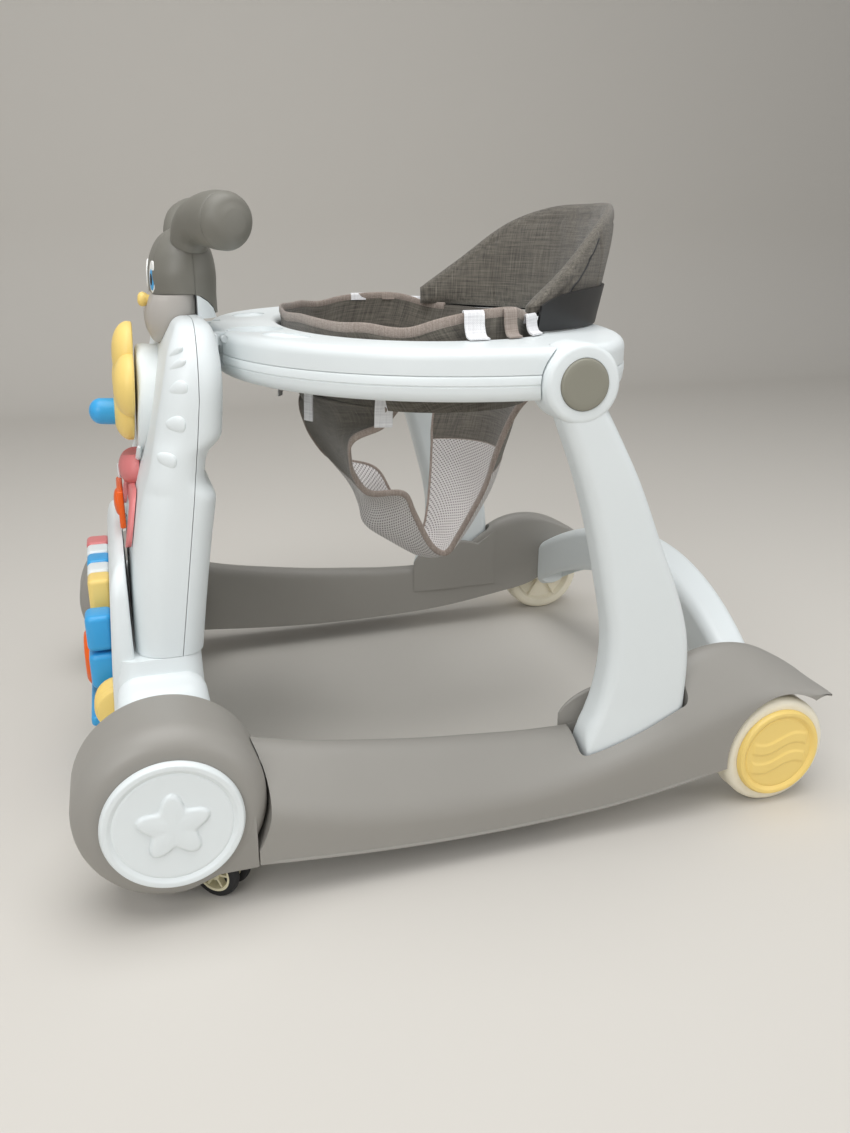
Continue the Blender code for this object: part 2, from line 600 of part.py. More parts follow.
def make_ring():
    upper = loft("tray_top", ring_rings(RING_SPLIT + 0.0003, RING_TOP, 0.0, 0.0, 0.008, RING_TURNS),
                 satin(WHITE, 0.4), closed=True)
    lower = loft("tray_underside", ring_rings(RING_SPLIT, RING_BOTTOM, 0.0, 0.0, 0.008, RING_TURNS),
                 satin(WHITE, 0.4), closed=True)
    upper_pocket = loft("tray_top_hollow", ring_rings(RING_SPLIT - 0.004, RING_TOP - WALL, 0.0035, 0.0035, 0.002,
                                                      POCKET_TURNS))
    lower_pocket = loft("tray_underside_hollow", ring_rings(RING_SPLIT + 0.004, RING_BOTTOM + WALL, 0.0035, 0.0035,
                                                            0.002, POCKET_TURNS))
    cut(upper, upper_pocket)
    cut(lower, lower_pocket)
    for side_label, side in SIDES:
        seat = cylinder("hub_seat_" + side_label, sided(side, 0.2930, HUB_Y, HUB_Z), (1, 0, 0), HUB_RADIUS + 0.0015,
                        0.060, sides=32)
        boss = cylinder("hub_boss_" + side_label, sided(side, 0.22775, HUB_Y, HUB_Z + 0.0003), (1, 0, 0), 0.0120,
                        0.0705, sides=20)
        boss_low = cylinder("hub_boss_low_" + side_label, sided(side, 0.22775, HUB_Y, HUB_Z), (1, 0, 0), 0.0120,
                            0.0705, sides=20)
        low_half = box("below_split_" + side_label, (side * 0.2 - 0.2, 0.0, 0.40), (side * 0.2 + 0.2, 0.15, RING_SPLIT))
        high_half = box("above_split_" + side_label, (side * 0.2 - 0.2, 0.0, RING_SPLIT + 0.0003),
                        (side * 0.2 + 0.2, 0.15, 0.49))
        pin_bore = cylinder("ring_pin_bore_" + side_label, sided(side, 0.250, HUB_Y, HUB_Z), (1, 0, 0),
                            0.0060 + GAP, 0.06, sides=24)
        join(upper, keep_inside(boss, high_half))
        join(lower, keep_inside(boss_low, low_half))
        cut(upper, seat, pin_bore)
        cut(lower, seat, pin_bore)
        slot = box("ear_slot_" + side_label, (side * 0.060 - 0.0055, -0.215, 0.4300),
                   (side * 0.060 + 0.0055, -0.1790, 0.470))
        cut(upper, slot)
        cut(lower, box("ear_slot_low_" + side_label, (side * 0.060 - 0.0055, -0.215, 0.4460 - 0.010),
                       (side * 0.060 + 0.0055, -0.1810, 0.470)))
    cup = cylinder("cup_recess", (0.052, -0.158, 0.4585), (0, 0, 1), 0.024, 0.014, sides=32, end_radius=0.027)
    bore = cylinder("hinge_bore", (0, HINGE_Y, HINGE_Z), (1, 0, 0), 0.0034, 0.160, sides=20)
    cut(upper, cup, bore)
    front_trim = box("ring_front_trim", (-0.3, -0.3, 0.4), (0.3, -0.1960, 0.48))
    cut(upper, front_trim)
    cut(lower, front_trim)
    pin = cylinder("tray_hinge_pin", (0, HINGE_Y, HINGE_Z), (1, 0, 0), 0.0030, 0.152, satin(STEEL, 0.3, 1.0), sides=20)
    return upper, lower, pin


# ---- legs ---------------------------------------------------------------------------------------
def make_leg(label, side):
    rings = []
    for z in (LEG_STUB_BOTTOM, 0.085, 0.105, 0.125, 0.150, 0.180, 0.215, 0.250, 0.290, 0.330, 0.370, 0.400, 0.420):
        front, rear = leg_outline(z)
        middle = leg_shift(z)
        half = 0.0176 if z < 0.38 else 0.0166
        edge = 0.004 if z < 0.09 else 0.012
        rings.append([(side * x, y, z) for x, y in rounded_rectangle(middle - half, middle + half, front, rear, edge)])
    leg = loft(f"leg_{label}", rings, satin(WHITE, 0.4))
    width = HUB_OUT - HUB_IN
    disc = turned(f"leg_hub_{label}",
                  [(0.0, width), (HUB_RADIUS - 0.003, width), (HUB_RADIUS - 0.0008, width - 0.0009),
                   (HUB_RADIUS, width - 0.003), (HUB_RADIUS, 0.0), (0.0, 0.0)],
                  sided(side, HUB_IN, HUB_Y, HUB_Z), (side, 0, 0), steps=32)
    hollow_rings = []
    for z in (0.045, 0.085, 0.125, 0.170, 0.215, 0.290, 0.350, 0.388):
        front, rear = leg_outline(z)
        middle = leg_shift(z)
        hollow_rings.append([(side * x, y, z) for x, y in
                             rounded_rectangle(middle - 0.0140, middle + 0.0140, front + 0.004, rear - 0.004, 0.008)])
    hollow = loft(f"leg_hollow_{label}", hollow_rings)
    recess = cylinder(f"cap_recess_{label}", sided(side, HUB_OUT + 0.005, HUB_Y, HUB_Z), (1, 0, 0),
                      0.0213 + GAP, 0.0160, sides=32)
    cut(leg, hollow)
    pin = cylinder(f"pivot_pin_{label}", sided(side, 0.2500, HUB_Y, HUB_Z), (1, 0, 0), 0.0060, 0.0500, sides=24)
    join(leg, disc, pin)
    cut(leg, recess)
    cap = turned(f"pivot_cap_{label}", [(0.0, 0.0055), (0.0195, 0.0055), (0.0207, 0.0049), (0.0213, 0.0036),
                                        (0.0213, 0.0), (0.0, 0.0)],
                 sided(side, HUB_OUT - 0.0026, HUB_Y, HUB_Z), (side, 0, 0), satin(DARK, 0.5), steps=32)
    return leg, cap


# ---- head, grips and toys on the column ---------------------------------------------------------
HEAD_LEVELS = ((0.4965, 0.064, -0.2500, -0.1910), (0.5150, 0.066, -0.2495, -0.1905),
               (0.5300, 0.059, -0.2440, -0.1935), (0.5410, 0.045, -0.2360, -0.1990),
               (0.5475, 0.024, -0.2260, -0.2070))


def head_rings(grow, low_z, skip_top=0):
    levels = HEAD_LEVELS[:len(HEAD_LEVELS) - skip_top]
    rings = [[(x, y, z + grow) for x, y in rounded_rectangle(-half - grow, half + grow, front - grow, rear + grow,
                                                               0.026)]
             for z, half, front, rear in levels]
    _, half, front, rear = levels[0]
    foot = [(x, y, low_z) for x, y in rounded_rectangle(-half - grow, half + grow, front - grow, rear + grow, 0.026)]
    return [foot] + rings


def ellipsoid(name, centre, radii, look=None, segments=20, rows=10):
    shape = bmesh.new()
    bmesh.ops.create_uvsphere(shape, u_segments=segments, v_segments=rows, radius=1.0)
    for vert in shape.verts:
        vert.co = [c * r for c, r in zip(vert.co, radii)]
    made = add_object(name, mesh_of(name, shape), look)
    made.location = centre
    return made


MUZZLE_CENTRE, MUZZLE_RADII = (0.0, -0.2370, 0.4735), (0.056, 0.0245, 0.0222)


def make_head(column_front, column_rear):
    front = loft("head_front_shell", head_rings(0.0, 0.4968), satin(DARK, 0.5))
    rear = loft("head_rear_shell", head_rings(0.0, 0.4786), satin(DARK, 0.5))
    hollow = loft("head_hollow", head_rings(-WALL, 0.4700, 1))
    cut(front, hollow, box("head_rear_half", (-0.1, -0.2130, 0.46), (0.1, -0.15, 0.60)))
    cut(rear, hollow, box("head_front_half", (-0.1, -0.30, 0.46), (0.1, -0.2126, 0.60)))
    muzzle = ellipsoid("muzzle", MUZZLE_CENTRE, MUZZLE_RADII, satin(MUZZLE, 0.5))
    cut(muzzle, box("muzzle_rear_trim", (-0.1, -0.2135, 0.4), (0.1, -0.15, 0.55)))
    seat = ellipsoid("muzzle_seat", MUZZLE_CENTRE, [r + 0.0015 for r in MUZZLE_RADII])
    cut(column_front, seat)
    cut(column_rear, seat)
    cut(rear, seat)
    grips = []
    for label, side in SIDES:
        path = [(0.040, -0.2140, 0.525), (0.046, -0.2138, 0.540), (0.054, -0.2120, 0.552), (0.066, -0.2075, 0.5590),
                (0.080, -0.2010, 0.5610), (0.096, -0.1940, 0.5610), (0.108, -0.1885, 0.5600), (0.117, -0.1845, 0.5595),
                (0.123, -0.1820, 0.5590), (0.1265, -0.1805, 0.5590)]
        radii = (0.0140, 0.0150, 0.0170, 0.0205, 0.0235, 0.0252, 0.0250, 0.0215, 0.0150, 0.0070)
        grip = tube(f"grip_{label}", [sided(side, *p) for p in path], radii, satin(DARK, 0.5), sides=4)
        cut(grip, loft(f"grip_root_{label}", head_rings(0.0004, 0.48)))
        grips.append(grip)
    return [front, rear, muzzle] + grips


def face_y(z):
    return column_edges(z)[0]


SPIN_TILT = math.radians(4.0)
SPIN_AXIS = Vector((0, -math.cos(SPIN_TILT), math.sin(SPIN_TILT)))
SPIN_UP = Vector((0, math.sin(SPIN_TILT), math.cos(SPIN_TILT)))
SPIN_CENTRE = Vector((0, -0.2600, 0.4100))
SPIN_BASE_RADIUS = 0.055
SPIN_DROP = Vector((0, 0, 0.0180))         # the round base sits a little lower than the spinner


def clover(reach, lobe, steps=32):
    """A four-lobed outline: the furthest edge of four circles set round the centre."""
    points = []
    for turn in np.linspace(0, 2 * math.pi, steps, endpoint=False):
        away = (turn + math.pi / 4) % (math.pi / 2) - math.pi / 4
        edge = reach * math.cos(away) + math.sqrt(max(lobe**2 - (reach * math.sin(away))**2, 0.0))
        points.append((edge * math.cos(turn), edge * math.sin(turn)))
    return points


def make_spinner(column_front):
    base_place = SPIN_CENTRE - SPIN_DROP
    cut(column_front, cylinder("spinner_base_seat", base_place, SPIN_AXIS, SPIN_BASE_RADIUS + GAP, 0.050,
                               sides=40))
    base = turned("spinner_base", [(0.0, 0.013), (SPIN_BASE_RADIUS - 0.005, 0.013), (SPIN_BASE_RADIUS - 0.0015, 0.011),
                                   (SPIN_BASE_RADIUS, 0.007), (SPIN_BASE_RADIUS, -0.014), (0.0, -0.014)], base_place, SPIN_AXIS, satin(WHITE, 0.4),
                  steps=40)
    rotor_place = SPIN_CENTRE + SPIN_AXIS * 0.0225
    rotor = plate("spinner_rotor", clover(0.028, 0.030), 0.0160, rotor_place, "-Y", satin(YELLOW, 0.4))
    rotor.rotation_euler = (math.pi / 2 - SPIN_TILT, 0, 0)
    soften(rotor, 0.004, 1)
    knob_place = rotor_place + SPIN_AXIS * 0.0085 - SPIN_UP * 0.030
    knob = turned("spinner_knob", [(0.0, 0.026), (0.006, 0.0248), (0.0105, 0.0210), (0.0125, 0.0150), (0.0130, 0.0),
                                   (0.0, 0.0)], knob_place, SPIN_AXIS, satin(BLUE, 0.35), steps=28)
    return base, rotor, knob


FLAP_PIN_X, FLAP_PIN_Y = -0.033, -0.2965


def make_front_trim():
    """The pink arch and dome round the picture flap."""
    right = [(0.042, 0.3070), (0.060, 0.3080), (0.074, 0.300), (0.082, 0.286), (0.085, 0.2665)]
    path = [(-x, z) for x, z in reversed(right)] + right
    rings = []
    for i, (x, z) in enumerate(path):
        before, after = path[max(i - 1, 0)], path[min(i + 1, len(path) - 1)]
        along = Vector((after[0] - before[0], after[1] - before[1])).normalized()
        half = 0.0035 if i in (0, len(path) - 1) else 0.0075
        ring = []
        for push, depth in ((-half, 0.0012), (half, 0.0012), (half, 0.0056), (-half, 0.0056)):
            px, pz = x - along.y * push, z + along.x * push
            ring.append((px, face_y(pz) - depth, pz))
        rings.append(ring)
    arch = loft("pink_arch", rings, satin(PINK, 0.45))
    cut(arch, cylinder("flap_sweep", (FLAP_PIN_X, FLAP_PIN_Y, 0.295), (0, 0, 1), 0.0085, 0.05, sides=32))
    dome = ellipsoid("pink_dome", (0.0, -0.2760, 0.3310), (0.030, 0.021, 0.0175), satin(PINK, 0.45))
    shield = loft("dome_shield", [[(x, y, z) for x, y in ((-0.1, face_y(z) - 0.0012), (0.1, face_y(z) - 0.0012),
                                                         (0.1, -0.20), (-0.1, -0.20))]
                                  for z in np.linspace(0.30, 0.38, 9)])
    base_clear = cylinder("dome_base_clear", SPIN_CENTRE - SPIN_DROP, SPIN_AXIS, SPIN_BASE_RADIUS + GAP, 0.0268,
                          sides=40)
    cut(dome, shield, base_clear, box("dome_back_trim", (-0.1, -0.2745, 0.30), (0.1, -0.20, 0.40)))
    return arch, dome


def make_flap():
    pin = cylinder("flap_pin", (FLAP_PIN_X, FLAP_PIN_Y, 0.2935), (0, 0, 1), 0.0018, 0.057, satin(WHITE, 0.4), sides=16)
    foot = ellipsoid("flap_pin_foot", (FLAP_PIN_X, FLAP_PIN_Y, 0.2650), (0.0034, 0.0034, 0.0030), segments=14, rows=8)
    stalk = box("flap_pin_stalk", (FLAP_PIN_X - 0.0016, -0.2975, 0.3170), (FLAP_PIN_X + 0.0016, -0.2870, 0.3205))
    join(pin, foot, stalk)
    flap = soften(box("picture_flap", (FLAP_PIN_X - 0.0050, -0.3015, 0.2690), (0.031, -0.2950, 0.3075),
                      satin(ORANGE, 0.4)), 0.002, 1)
    bump = ellipsoid("flap_bump", (0.004, -0.3010, 0.2930), (0.014, 0.0050, 0.014))
    join(flap, bump)
    cut(flap, cylinder("flap_bore", (FLAP_PIN_X, FLAP_PIN_Y, 0.29), (0, 0, 1), 0.0018 + GAP, 0.08, sides=16),
        box("flap_back_trim", (-0.1, FLAP_PIN_Y + 0.0030, 0.20), (0.1, -0.20, 0.40)))
    return pin, flap


KEY_COLOURS = (PINK, WHITE, BLUE, WHITE, YELLOW)
KEY_TRAVEL = 0.003


def make_lower_toys(base):
    cut(base, box("key_pocket", (-0.117, -0.34, 0.1775), (0.0475, -0.3110, 0.2235)))
    cut(base, box("button_pocket", (0.0525, -0.34, 0.1200), (0.0875, -0.3125, 0.2000)))
    keys = []
    for i, colour in enumerate(KEY_COLOURS):
        x = -0.101 + 0.0328 * i
        key = box(f"piano_key_{i + 1}", (x - 0.0150, -0.3390 + 0.0005 * i, 0.1785), (x + 0.0150, -0.3150, 0.2225),
                  satin(colour, 0.35))
        keys.append(soften(key, 0.005, 2))
    buttons = []
    for label, z in (("upper", 0.1805), ("lower", 0.1405)):
        button = box(f"blue_button_{label}", (0.0540, -0.3430, z - 0.0185), (0.0860, -0.3165, z + 0.0185),
                     satin(BLUE, 0.35))
        buttons.append(soften(button, 0.007, 2))
    dial = turned("orange_dial", [(0.0, 0.0135), (0.024, 0.0135), (0.0285, 0.0115), (0.031, 0.0075), (0.031, 0.0),
                                  (0.0, 0.0)], (0.010, -0.3360, 0.1270), (0, -1, 0), satin(ORANGE, 0.4), steps=28)
    join(dial, cylinder("dial_spindle", (0.010, -0.3275, 0.1270), (0, 1, 0), 0.008, 0.0190, sides=20))
    cut(base, cylinder("spindle_socket", (0.010, -0.3200, 0.1270), (0, 1, 0), 0.008 + GAP, 0.0120, sides=20))
    push = turned("white_button", [(0.0, 0.0165), (0.010, 0.0150), (0.0175, 0.0105), (0.021, 0.0040), (0.021, -0.0080),
                                   (0.0, -0.0080)], (-0.070, -0.3265, 0.1330), (0, -1, 0), satin(WHITE, 0.35),
                  steps=32)
    cut(base, cylinder("push_pocket", (-0.070, -0.3240, 0.1330), (0, 1, 0), 0.021 + 0.0006, 0.0200, sides=32))
    soften(box("blue_shelf", (-0.030, -0.3480, 0.0790), (0.0800, -0.3262, 0.0900), satin(BLUE, 0.4)), 0.003, 2)
    roller = turned("yellow_roller", [(0.0, 0.0255), (0.0030, 0.0255), (0.0030, 0.0180), (0.0175, 0.0180),
                                      (0.0215, 0.0150), (0.0235, 0.0100), (0.0235, -0.0100), (0.0215, -0.0150),
                                      (0.0175, -0.0180), (0.0030, -0.0180), (0.0030, -0.0255), (0.0, -0.0255)],
                    (0.1120, -0.3185, 0.1180), (1, 0, 0), satin(YELLOW, 0.4), steps=24)
    cut(base, cylinder("roller_pocket", (0.1120, -0.3185, 0.1180), (1, 0, 0), 0.0250, 0.0385, sides=36),
        cylinder("roller_bore", (0.1120, -0.3185, 0.1180), (1, 0, 0), 0.0030 + GAP, 0.0530, sides=16))
    return keys, buttons, push, dial, roller


def make_electronics():
    """What the toy column holds: a circuit board, a speaker and a battery box."""
    board = box("circuit_board", (-0.070, -0.2404, 0.3600), (0.070, -0.2388, 0.4400), satin(GREEN, 0.5))
    speaker = turned("speaker", [(0.0, 0.012), (0.010, 0.012), (0.012, 0.006), (0.026, 0.004), (0.028, 0.002),
                                 (0.028, 0.0), (0.0, 0.0)], (0.0, -0.2560, 0.3000), (0, 1, 0),
                     satin(BLACK, 0.5, 0.2), steps=28)
    battery = soften(box("battery_box", (-0.045, -0.2360, 0.3800), (0.045, -0.2185, 0.4250), satin(BLACK, 0.5)),
                     0.001, 1)
    return [board, speaker, battery]


# ---- seat ---------------------------------------------------------------------------------------
def make_seat_back():
    """A curved pad that stands on the rear of the ring and falls away at both wings."""
    rings = []
    for turn in np.linspace(-74, 74, 17):
        angle = math.radians(turn)
        top = float(through((-74, -60, -40, -22, 0, 22, 40, 60, 74),
                            (0.482, 0.512, 0.556, 0.574, 0.577, 0.574, 0.556, 0.512, 0.482), turn))
        ring = []
        for u, v in rounded_rectangle(-0.009, 0.009, 0.0, 1.0, 0.0089, 2):
            height = 0.4665 + (top - 0.4665) * v
            lean = 0.020 * (height - 0.4665) / 0.11
            reach = 0.164 + u + lean
            ring.append((reach * 1.02 * math.sin(angle), 0.030 + reach * math.cos(angle), height))
        rings.append(ring)
    return loft("seat_back", rings, satin(CLOTH, 0.9))


def make_seat_rim():
    """The cloth wall that hangs inside the ring."""
    rings = []
    for turn in np.linspace(0, 2 * math.pi, 32, endpoint=False):
        ring = []
        for inset, z in ((0.0020, 0.4560), (0.0070, 0.4560), (0.0120, 0.3980), (0.0070, 0.3980)):
            x, y = outline_point(turn, HOLE_HALF_X - inset, HOLE_HALF_Y - inset, HOLE_HALF_Y - inset, HOLE_CENTRE_Y)
            ring.append((x, y, z))
        rings.append(ring)
    return loft("seat_rim", rings, satin(CLOTH, 0.9), closed=True)


def make_seat_crotch():
    """The sling from the front of the seat, between the legs, and up the back."""
    path_y = (-0.108, -0.098, -0.072, -0.030, 0.015, 0.060, 0.092, 0.108, 0.116)
    path_z = (0.3970, 0.3600, 0.3000, 0.2350, 0.2050, 0.2400, 0.3000, 0.3500, 0.3970)
    halves = (0.075, 0.072, 0.058, 0.046, 0.044, 0.048, 0.064, 0.085, 0.095)
    rings = []
    steps = np.linspace(0, len(path_y) - 1, 17)
    index = np.arange(len(path_y))
    ys, zs, ws = (through(index, values, steps) for values in (path_y, path_z, halves))
    for i in range(len(steps)):
        a, b = max(i - 1, 0), min(i + 1, len(steps) - 1)
        along = Vector((ys[b] - ys[a], zs[b] - zs[a])).normalized()
        rings.append([(x, ys[i] - along.y * out, zs[i] + along.x * out) for x, out in
                      ((-ws[i], -0.003), (ws[i], -0.003), (ws[i], 0.003), (-ws[i], 0.003))])
    return loft("seat_crotch", rings, satin(MESH_CLOTH, 0.9))


def make_back_plate():
    rings = []
    for turn in np.linspace(-34, 34, 9):
        angle = math.radians(turn)
        ring = []
        for reach, z in ((0.1990, 0.4640), (0.2020, 0.4640), (0.2100, 0.5200), (0.2070, 0.5200)):
            ring.append((reach * 1.02 * math.sin(angle), 0.030 + reach * math.cos(angle) - 0.0040, z))
        rings.append(ring)
    return loft("back_plate", rings, satin(BLACK, 0.6))


# ---- assembly -----------------------------------------------------------------------------------
base = make_base()
keys, buttons, push, dial, roller = make_lower_toys(base)
make_crossbar()
rear_wheels, casters, legs = [], [], []
for label, side in SIDES:
    make_rail(label, side)
    make_drum(label, side)
    make_cap(label, side)
    rear_wheels.append((label, side, make_rear_wheel(label, side)))
    casters.append((label, side, make_caster(label, side)))
    legs.append((label, side, make_leg(label, side)))

column_front, column_rear = make_column()
bracket = make_hinge_bracket()
head = make_head(column_front, column_rear)
spinner_base, rotor, knob = make_spinner(column_front)
arch, dome = make_front_trim()
flap_pin, flap = make_flap()
electronics = make_electronics()
tray_top, tray_underside, hinge_pin = make_ring()
seat = [make_seat_back(), make_seat_rim(), make_seat_crotch(), make_back_plate()]

column = body("column", (0, -0.25, COLUMN_BOTTOM),
              [column_front, column_rear, bracket, hinge_pin, spinner_base, arch, dome, flap_pin] + head + electronics)
ring = body("tray", (0, HINGE_Y, HINGE_Z), [tray_top, tray_underside] + seat, column)
body("spinner", rotor.location.copy(), [rotor, knob], column)
body("flap", (FLAP_PIN_X, FLAP_PIN_Y, 0.29), [flap], column)
for label, side, (leg, cap) in legs:
    body("leg_" + label, sided(side, 0.28, HUB_Y, HUB_Z), [leg, cap], ring)
for label, side, pieces in rear_wheels:
    body("rear_wheel_" + label, sided(side, 0.2825, REAR_WHEEL_Y, REAR_WHEEL_RADIUS), pieces[:2])
for label, side, (fork, wheels, stem) in casters:
    swivel = body("caster_" + label, stem, [fork])
    for wheel in wheels:
        body(wheel.name, wheel.location.copy(), [wheel], swivel)
for key in keys + buttons + [push, dial, roller]:
    body(key.name, key.location.copy(), [key])
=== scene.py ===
# %% [markdown]
# # A baby walker
#
# The walker rolls on a low grey base: two rails, two round corner housings with swivel casters under
# them, and two larger wheels at the back. A white toy column with an animal's head stands on the
# front, a ring-shaped tray carries a cloth seat, and two legs hold the tray up. Every length below
# is in metres. +Z is up, -Y is the front and +X is the child's left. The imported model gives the
# frame, and the pieces here are laid over it.

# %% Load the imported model
import math

import bmesh
import bpy
import numpy as np
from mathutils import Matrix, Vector


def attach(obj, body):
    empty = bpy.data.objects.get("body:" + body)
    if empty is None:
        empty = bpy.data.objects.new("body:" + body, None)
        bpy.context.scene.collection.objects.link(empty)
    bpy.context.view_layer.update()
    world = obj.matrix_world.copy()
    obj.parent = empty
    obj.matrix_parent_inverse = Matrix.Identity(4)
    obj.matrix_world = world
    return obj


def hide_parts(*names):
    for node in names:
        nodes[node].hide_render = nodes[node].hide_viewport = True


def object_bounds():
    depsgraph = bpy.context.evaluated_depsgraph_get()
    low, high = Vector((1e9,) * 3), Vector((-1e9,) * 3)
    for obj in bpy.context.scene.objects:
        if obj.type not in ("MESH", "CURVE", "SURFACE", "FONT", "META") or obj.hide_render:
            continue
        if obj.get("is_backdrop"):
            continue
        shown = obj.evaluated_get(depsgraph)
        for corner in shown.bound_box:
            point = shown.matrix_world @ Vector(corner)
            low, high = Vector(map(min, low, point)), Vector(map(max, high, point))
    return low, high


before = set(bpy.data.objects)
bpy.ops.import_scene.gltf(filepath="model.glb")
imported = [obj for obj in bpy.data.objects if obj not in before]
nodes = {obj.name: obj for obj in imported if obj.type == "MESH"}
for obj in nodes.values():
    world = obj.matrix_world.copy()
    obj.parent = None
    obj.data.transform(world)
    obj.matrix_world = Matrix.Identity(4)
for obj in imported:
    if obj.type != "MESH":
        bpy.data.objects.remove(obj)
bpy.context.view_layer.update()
TURN = 2 * np.pi
SIDES = (("left", 1.0), ("right", -1.0))

# %% [markdown]
# ## Curves and surfaces
#
# Moulded shapes are grids of points: a cross-section that changes along a path. The helpers below
# turn such a grid into a mesh. A curve through measured points is a row of cubic pieces whose slopes
# are averaged, so it has no corners, and cutting corners twice turns a coarse profile into a soft one.

# %% Curves
def through(xs, ys, at):
    """Smooth curve through (xs, ys): cubic Hermite pieces, each slope the mean of its neighbours'."""
    xs, ys, at = (np.asarray(v, float) for v in (xs, ys, at))
    slope = np.diff(ys) / np.diff(xs)
    m = np.concatenate([slope[:1], (slope[1:] + slope[:-1]) / 2, slope[-1:]])
    i = np.clip(np.searchsorted(xs, at, side="right") - 1, 0, len(xs) - 2)
    h = xs[i + 1] - xs[i]
    t = np.clip((at - xs[i]) / h, 0, 1)
    return ((2 * t**3 - 3 * t**2 + 1) * ys[i] + (t**3 - 2 * t**2 + t) * h * m[i]
            + (3 * t**2 - 2 * t**3) * ys[i + 1] + (t**3 - t**2) * h * m[i + 1])


def path_through(points, count):
    """Smooth path through 3-D points, evenly stepped in their chord length."""
    points = np.asarray(points, float)
    run = np.concatenate([[0], np.cumsum(np.linalg.norm(np.diff(points, axis=0), axis=1))])
    at = np.linspace(0, run[-1], count)
    return np.stack([through(run, points[:, k], at) for k in range(3)], -1)


def cut_corners(points, times=2, closed=False):
    """Replace each corner along the last-but-one axis by points a quarter of the way to its neighbours."""
    p = np.asarray(points, float)
    for _ in range(times):
        ahead = np.roll(p, -1, axis=-2)
        pair = np.stack([0.75 * p + 0.25 * ahead, 0.25 * p + 0.75 * ahead], -2)
        flat = pair.reshape(*p.shape[:-2], -1, p.shape[-1])
        p = flat if closed else np.concatenate([p[..., :1, :], flat[..., 1:-3, :], p[..., -1:, :]], -2)
    return p


def ease(value):
    """0 below 0, 1 above 1, and 3t^2 - 2t^3 between."""
    t = np.clip(value, 0, 1)
    return t * t * (3 - 2 * t)


def corners(u0, u1, v0, v1, radii, steps=7):
    """Rounded rectangles, one for each row of the inputs; radii are at (u1,v1), (u0,v1), (u0,v0), (u1,v0)."""
    u0, u1, v0, v1 = np.broadcast_arrays(*(np.atleast_1d(np.asarray(v, float)) for v in (u0, u1, v0, v1)))
    out = []
    for k, (u, v) in enumerate(((u1, v1), (u0, v1), (u0, v0), (u1, v0))):
        r = np.broadcast_to(np.asarray(radii[k], float), u.shape)[:, None]
        r = np.minimum(r, np.minimum((u1 - u0), (v1 - v0))[:, None] * 0.495)
        a = (k + np.linspace(0, 1, steps))[None, :] * np.pi / 2
        cu = u[:, None] + np.where(k in (0, 3), -1, 1) * r
        cv = v[:, None] + np.where(k in (0, 1), -1, 1) * r
        out.append(np.stack([cu + r * np.cos(a), cv + r * np.sin(a)], -1))
    return np.concatenate(out, 1)


def lifted(xy, z):
    """Sections in X and Y, each set at its own height z."""
    return np.concatenate([xy, np.broadcast_to(np.reshape(z, (-1, 1, 1)), (*xy.shape[:2], 1))], -1)


def spanned(x, yz):
    """Sections in Y and Z, each set at its own x."""
    return np.concatenate([np.broadcast_to(np.reshape(x, (-1, 1, 1)), (*yz.shape[:2], 1)), yz], -1)


# %% Meshes from grids
PARTS = bpy.data.collections.new("walker_surface")
bpy.context.scene.collection.children.link(PARTS)


def mesh_from(name, points, polygons, thread=None):
    """A tidy mesh: doubled points merged when it carries no thread, and faces turned outwards."""
    mesh = bpy.data.meshes.new(name)
    mesh.from_pydata(points.reshape(-1, 3).tolist(), [], polygons)
    shape = bmesh.new()
    shape.from_mesh(mesh)
    if thread is None:
        bmesh.ops.remove_doubles(shape, verts=shape.verts, dist=2e-6)
    bmesh.ops.recalc_face_normals(shape, faces=shape.faces)
    shape.to_mesh(mesh)
    shape.free()
    if thread is not None:
        layer = mesh.attributes.new("thread", "FLOAT_VECTOR", "POINT")
        layer.data.foreach_set("vector", thread.astype(np.float32).reshape(-1))
    made = bpy.data.objects.new(name, mesh)
    PARTS.objects.link(made)
    return made


def surface(name, grid, wrap=(False, True), caps=True, thread=None):
    """Quads between neighbouring points of a grid; wrap closes its rows or columns, caps fills open ends."""
    rows, columns = grid.shape[:2]
    i, j = np.meshgrid(np.arange(rows - (not wrap[0])), np.arange(columns - (not wrap[1])), indexing="ij")
    down, right = (i + 1) % rows, (j + 1) % columns
    quads = np.stack([i * columns + j, i * columns + right, down * columns + right, down * columns + j], -1)
    polygons = quads.reshape(-1, 4).tolist()
    if caps and wrap[1] and not wrap[0]:
        polygons.append(list(range(columns))[::-1])
        polygons.append(list(range((rows - 1) * columns, rows * columns)))
    return mesh_from(name, grid, polygons, thread)


def basis(axis):
    """Two directions square to axis."""
    axis = np.asarray(axis, float) / np.linalg.norm(axis)
    side = np.cross(axis, (0, 0, 1) if abs(axis[2]) < 0.9 else (0, 1, 0))
    side /= np.linalg.norm(side)
    return axis, side, np.cross(side, axis)


def turned(name, profile, centre, axis, steps=96, closed=False):
    """A profile of (radius, along) carried round an axis: centre + along*axis + radius*(cos, sin)."""
    profile = np.asarray(profile, float)
    axis, side, up = basis(axis)
    a = np.linspace(0, TURN, steps, endpoint=False)
    ring = np.cos(a)[:, None] * side + np.sin(a)[:, None] * up
    grid = np.asarray(centre) + profile[:, 1, None, None] * axis + profile[:, 0, None, None] * ring
    return surface(name, grid, (closed, True), not closed)


def tube(name, path, radius, around=20, thin=1.0):
    """A tube along a path, its section kept level; thin flattens it sideways into a tape."""
    path = np.asarray(path, float)
    along = np.gradient(path, axis=0)
    along /= np.linalg.norm(along, axis=1)[:, None]
    side = np.cross(along, (0.03, 0.05, 1.0))
    side /= np.linalg.norm(side, axis=1)[:, None]
    up = np.cross(side, along)
    a = np.linspace(0, TURN, around, endpoint=False)
    r = np.broadcast_to(np.asarray(radius, float), len(path))[:, None, None]
    grid = path[:, None] + r * (thin * np.cos(a)[:, None] * side[:, None] + np.sin(a)[:, None] * up[:, None])
    return surface(name, grid)


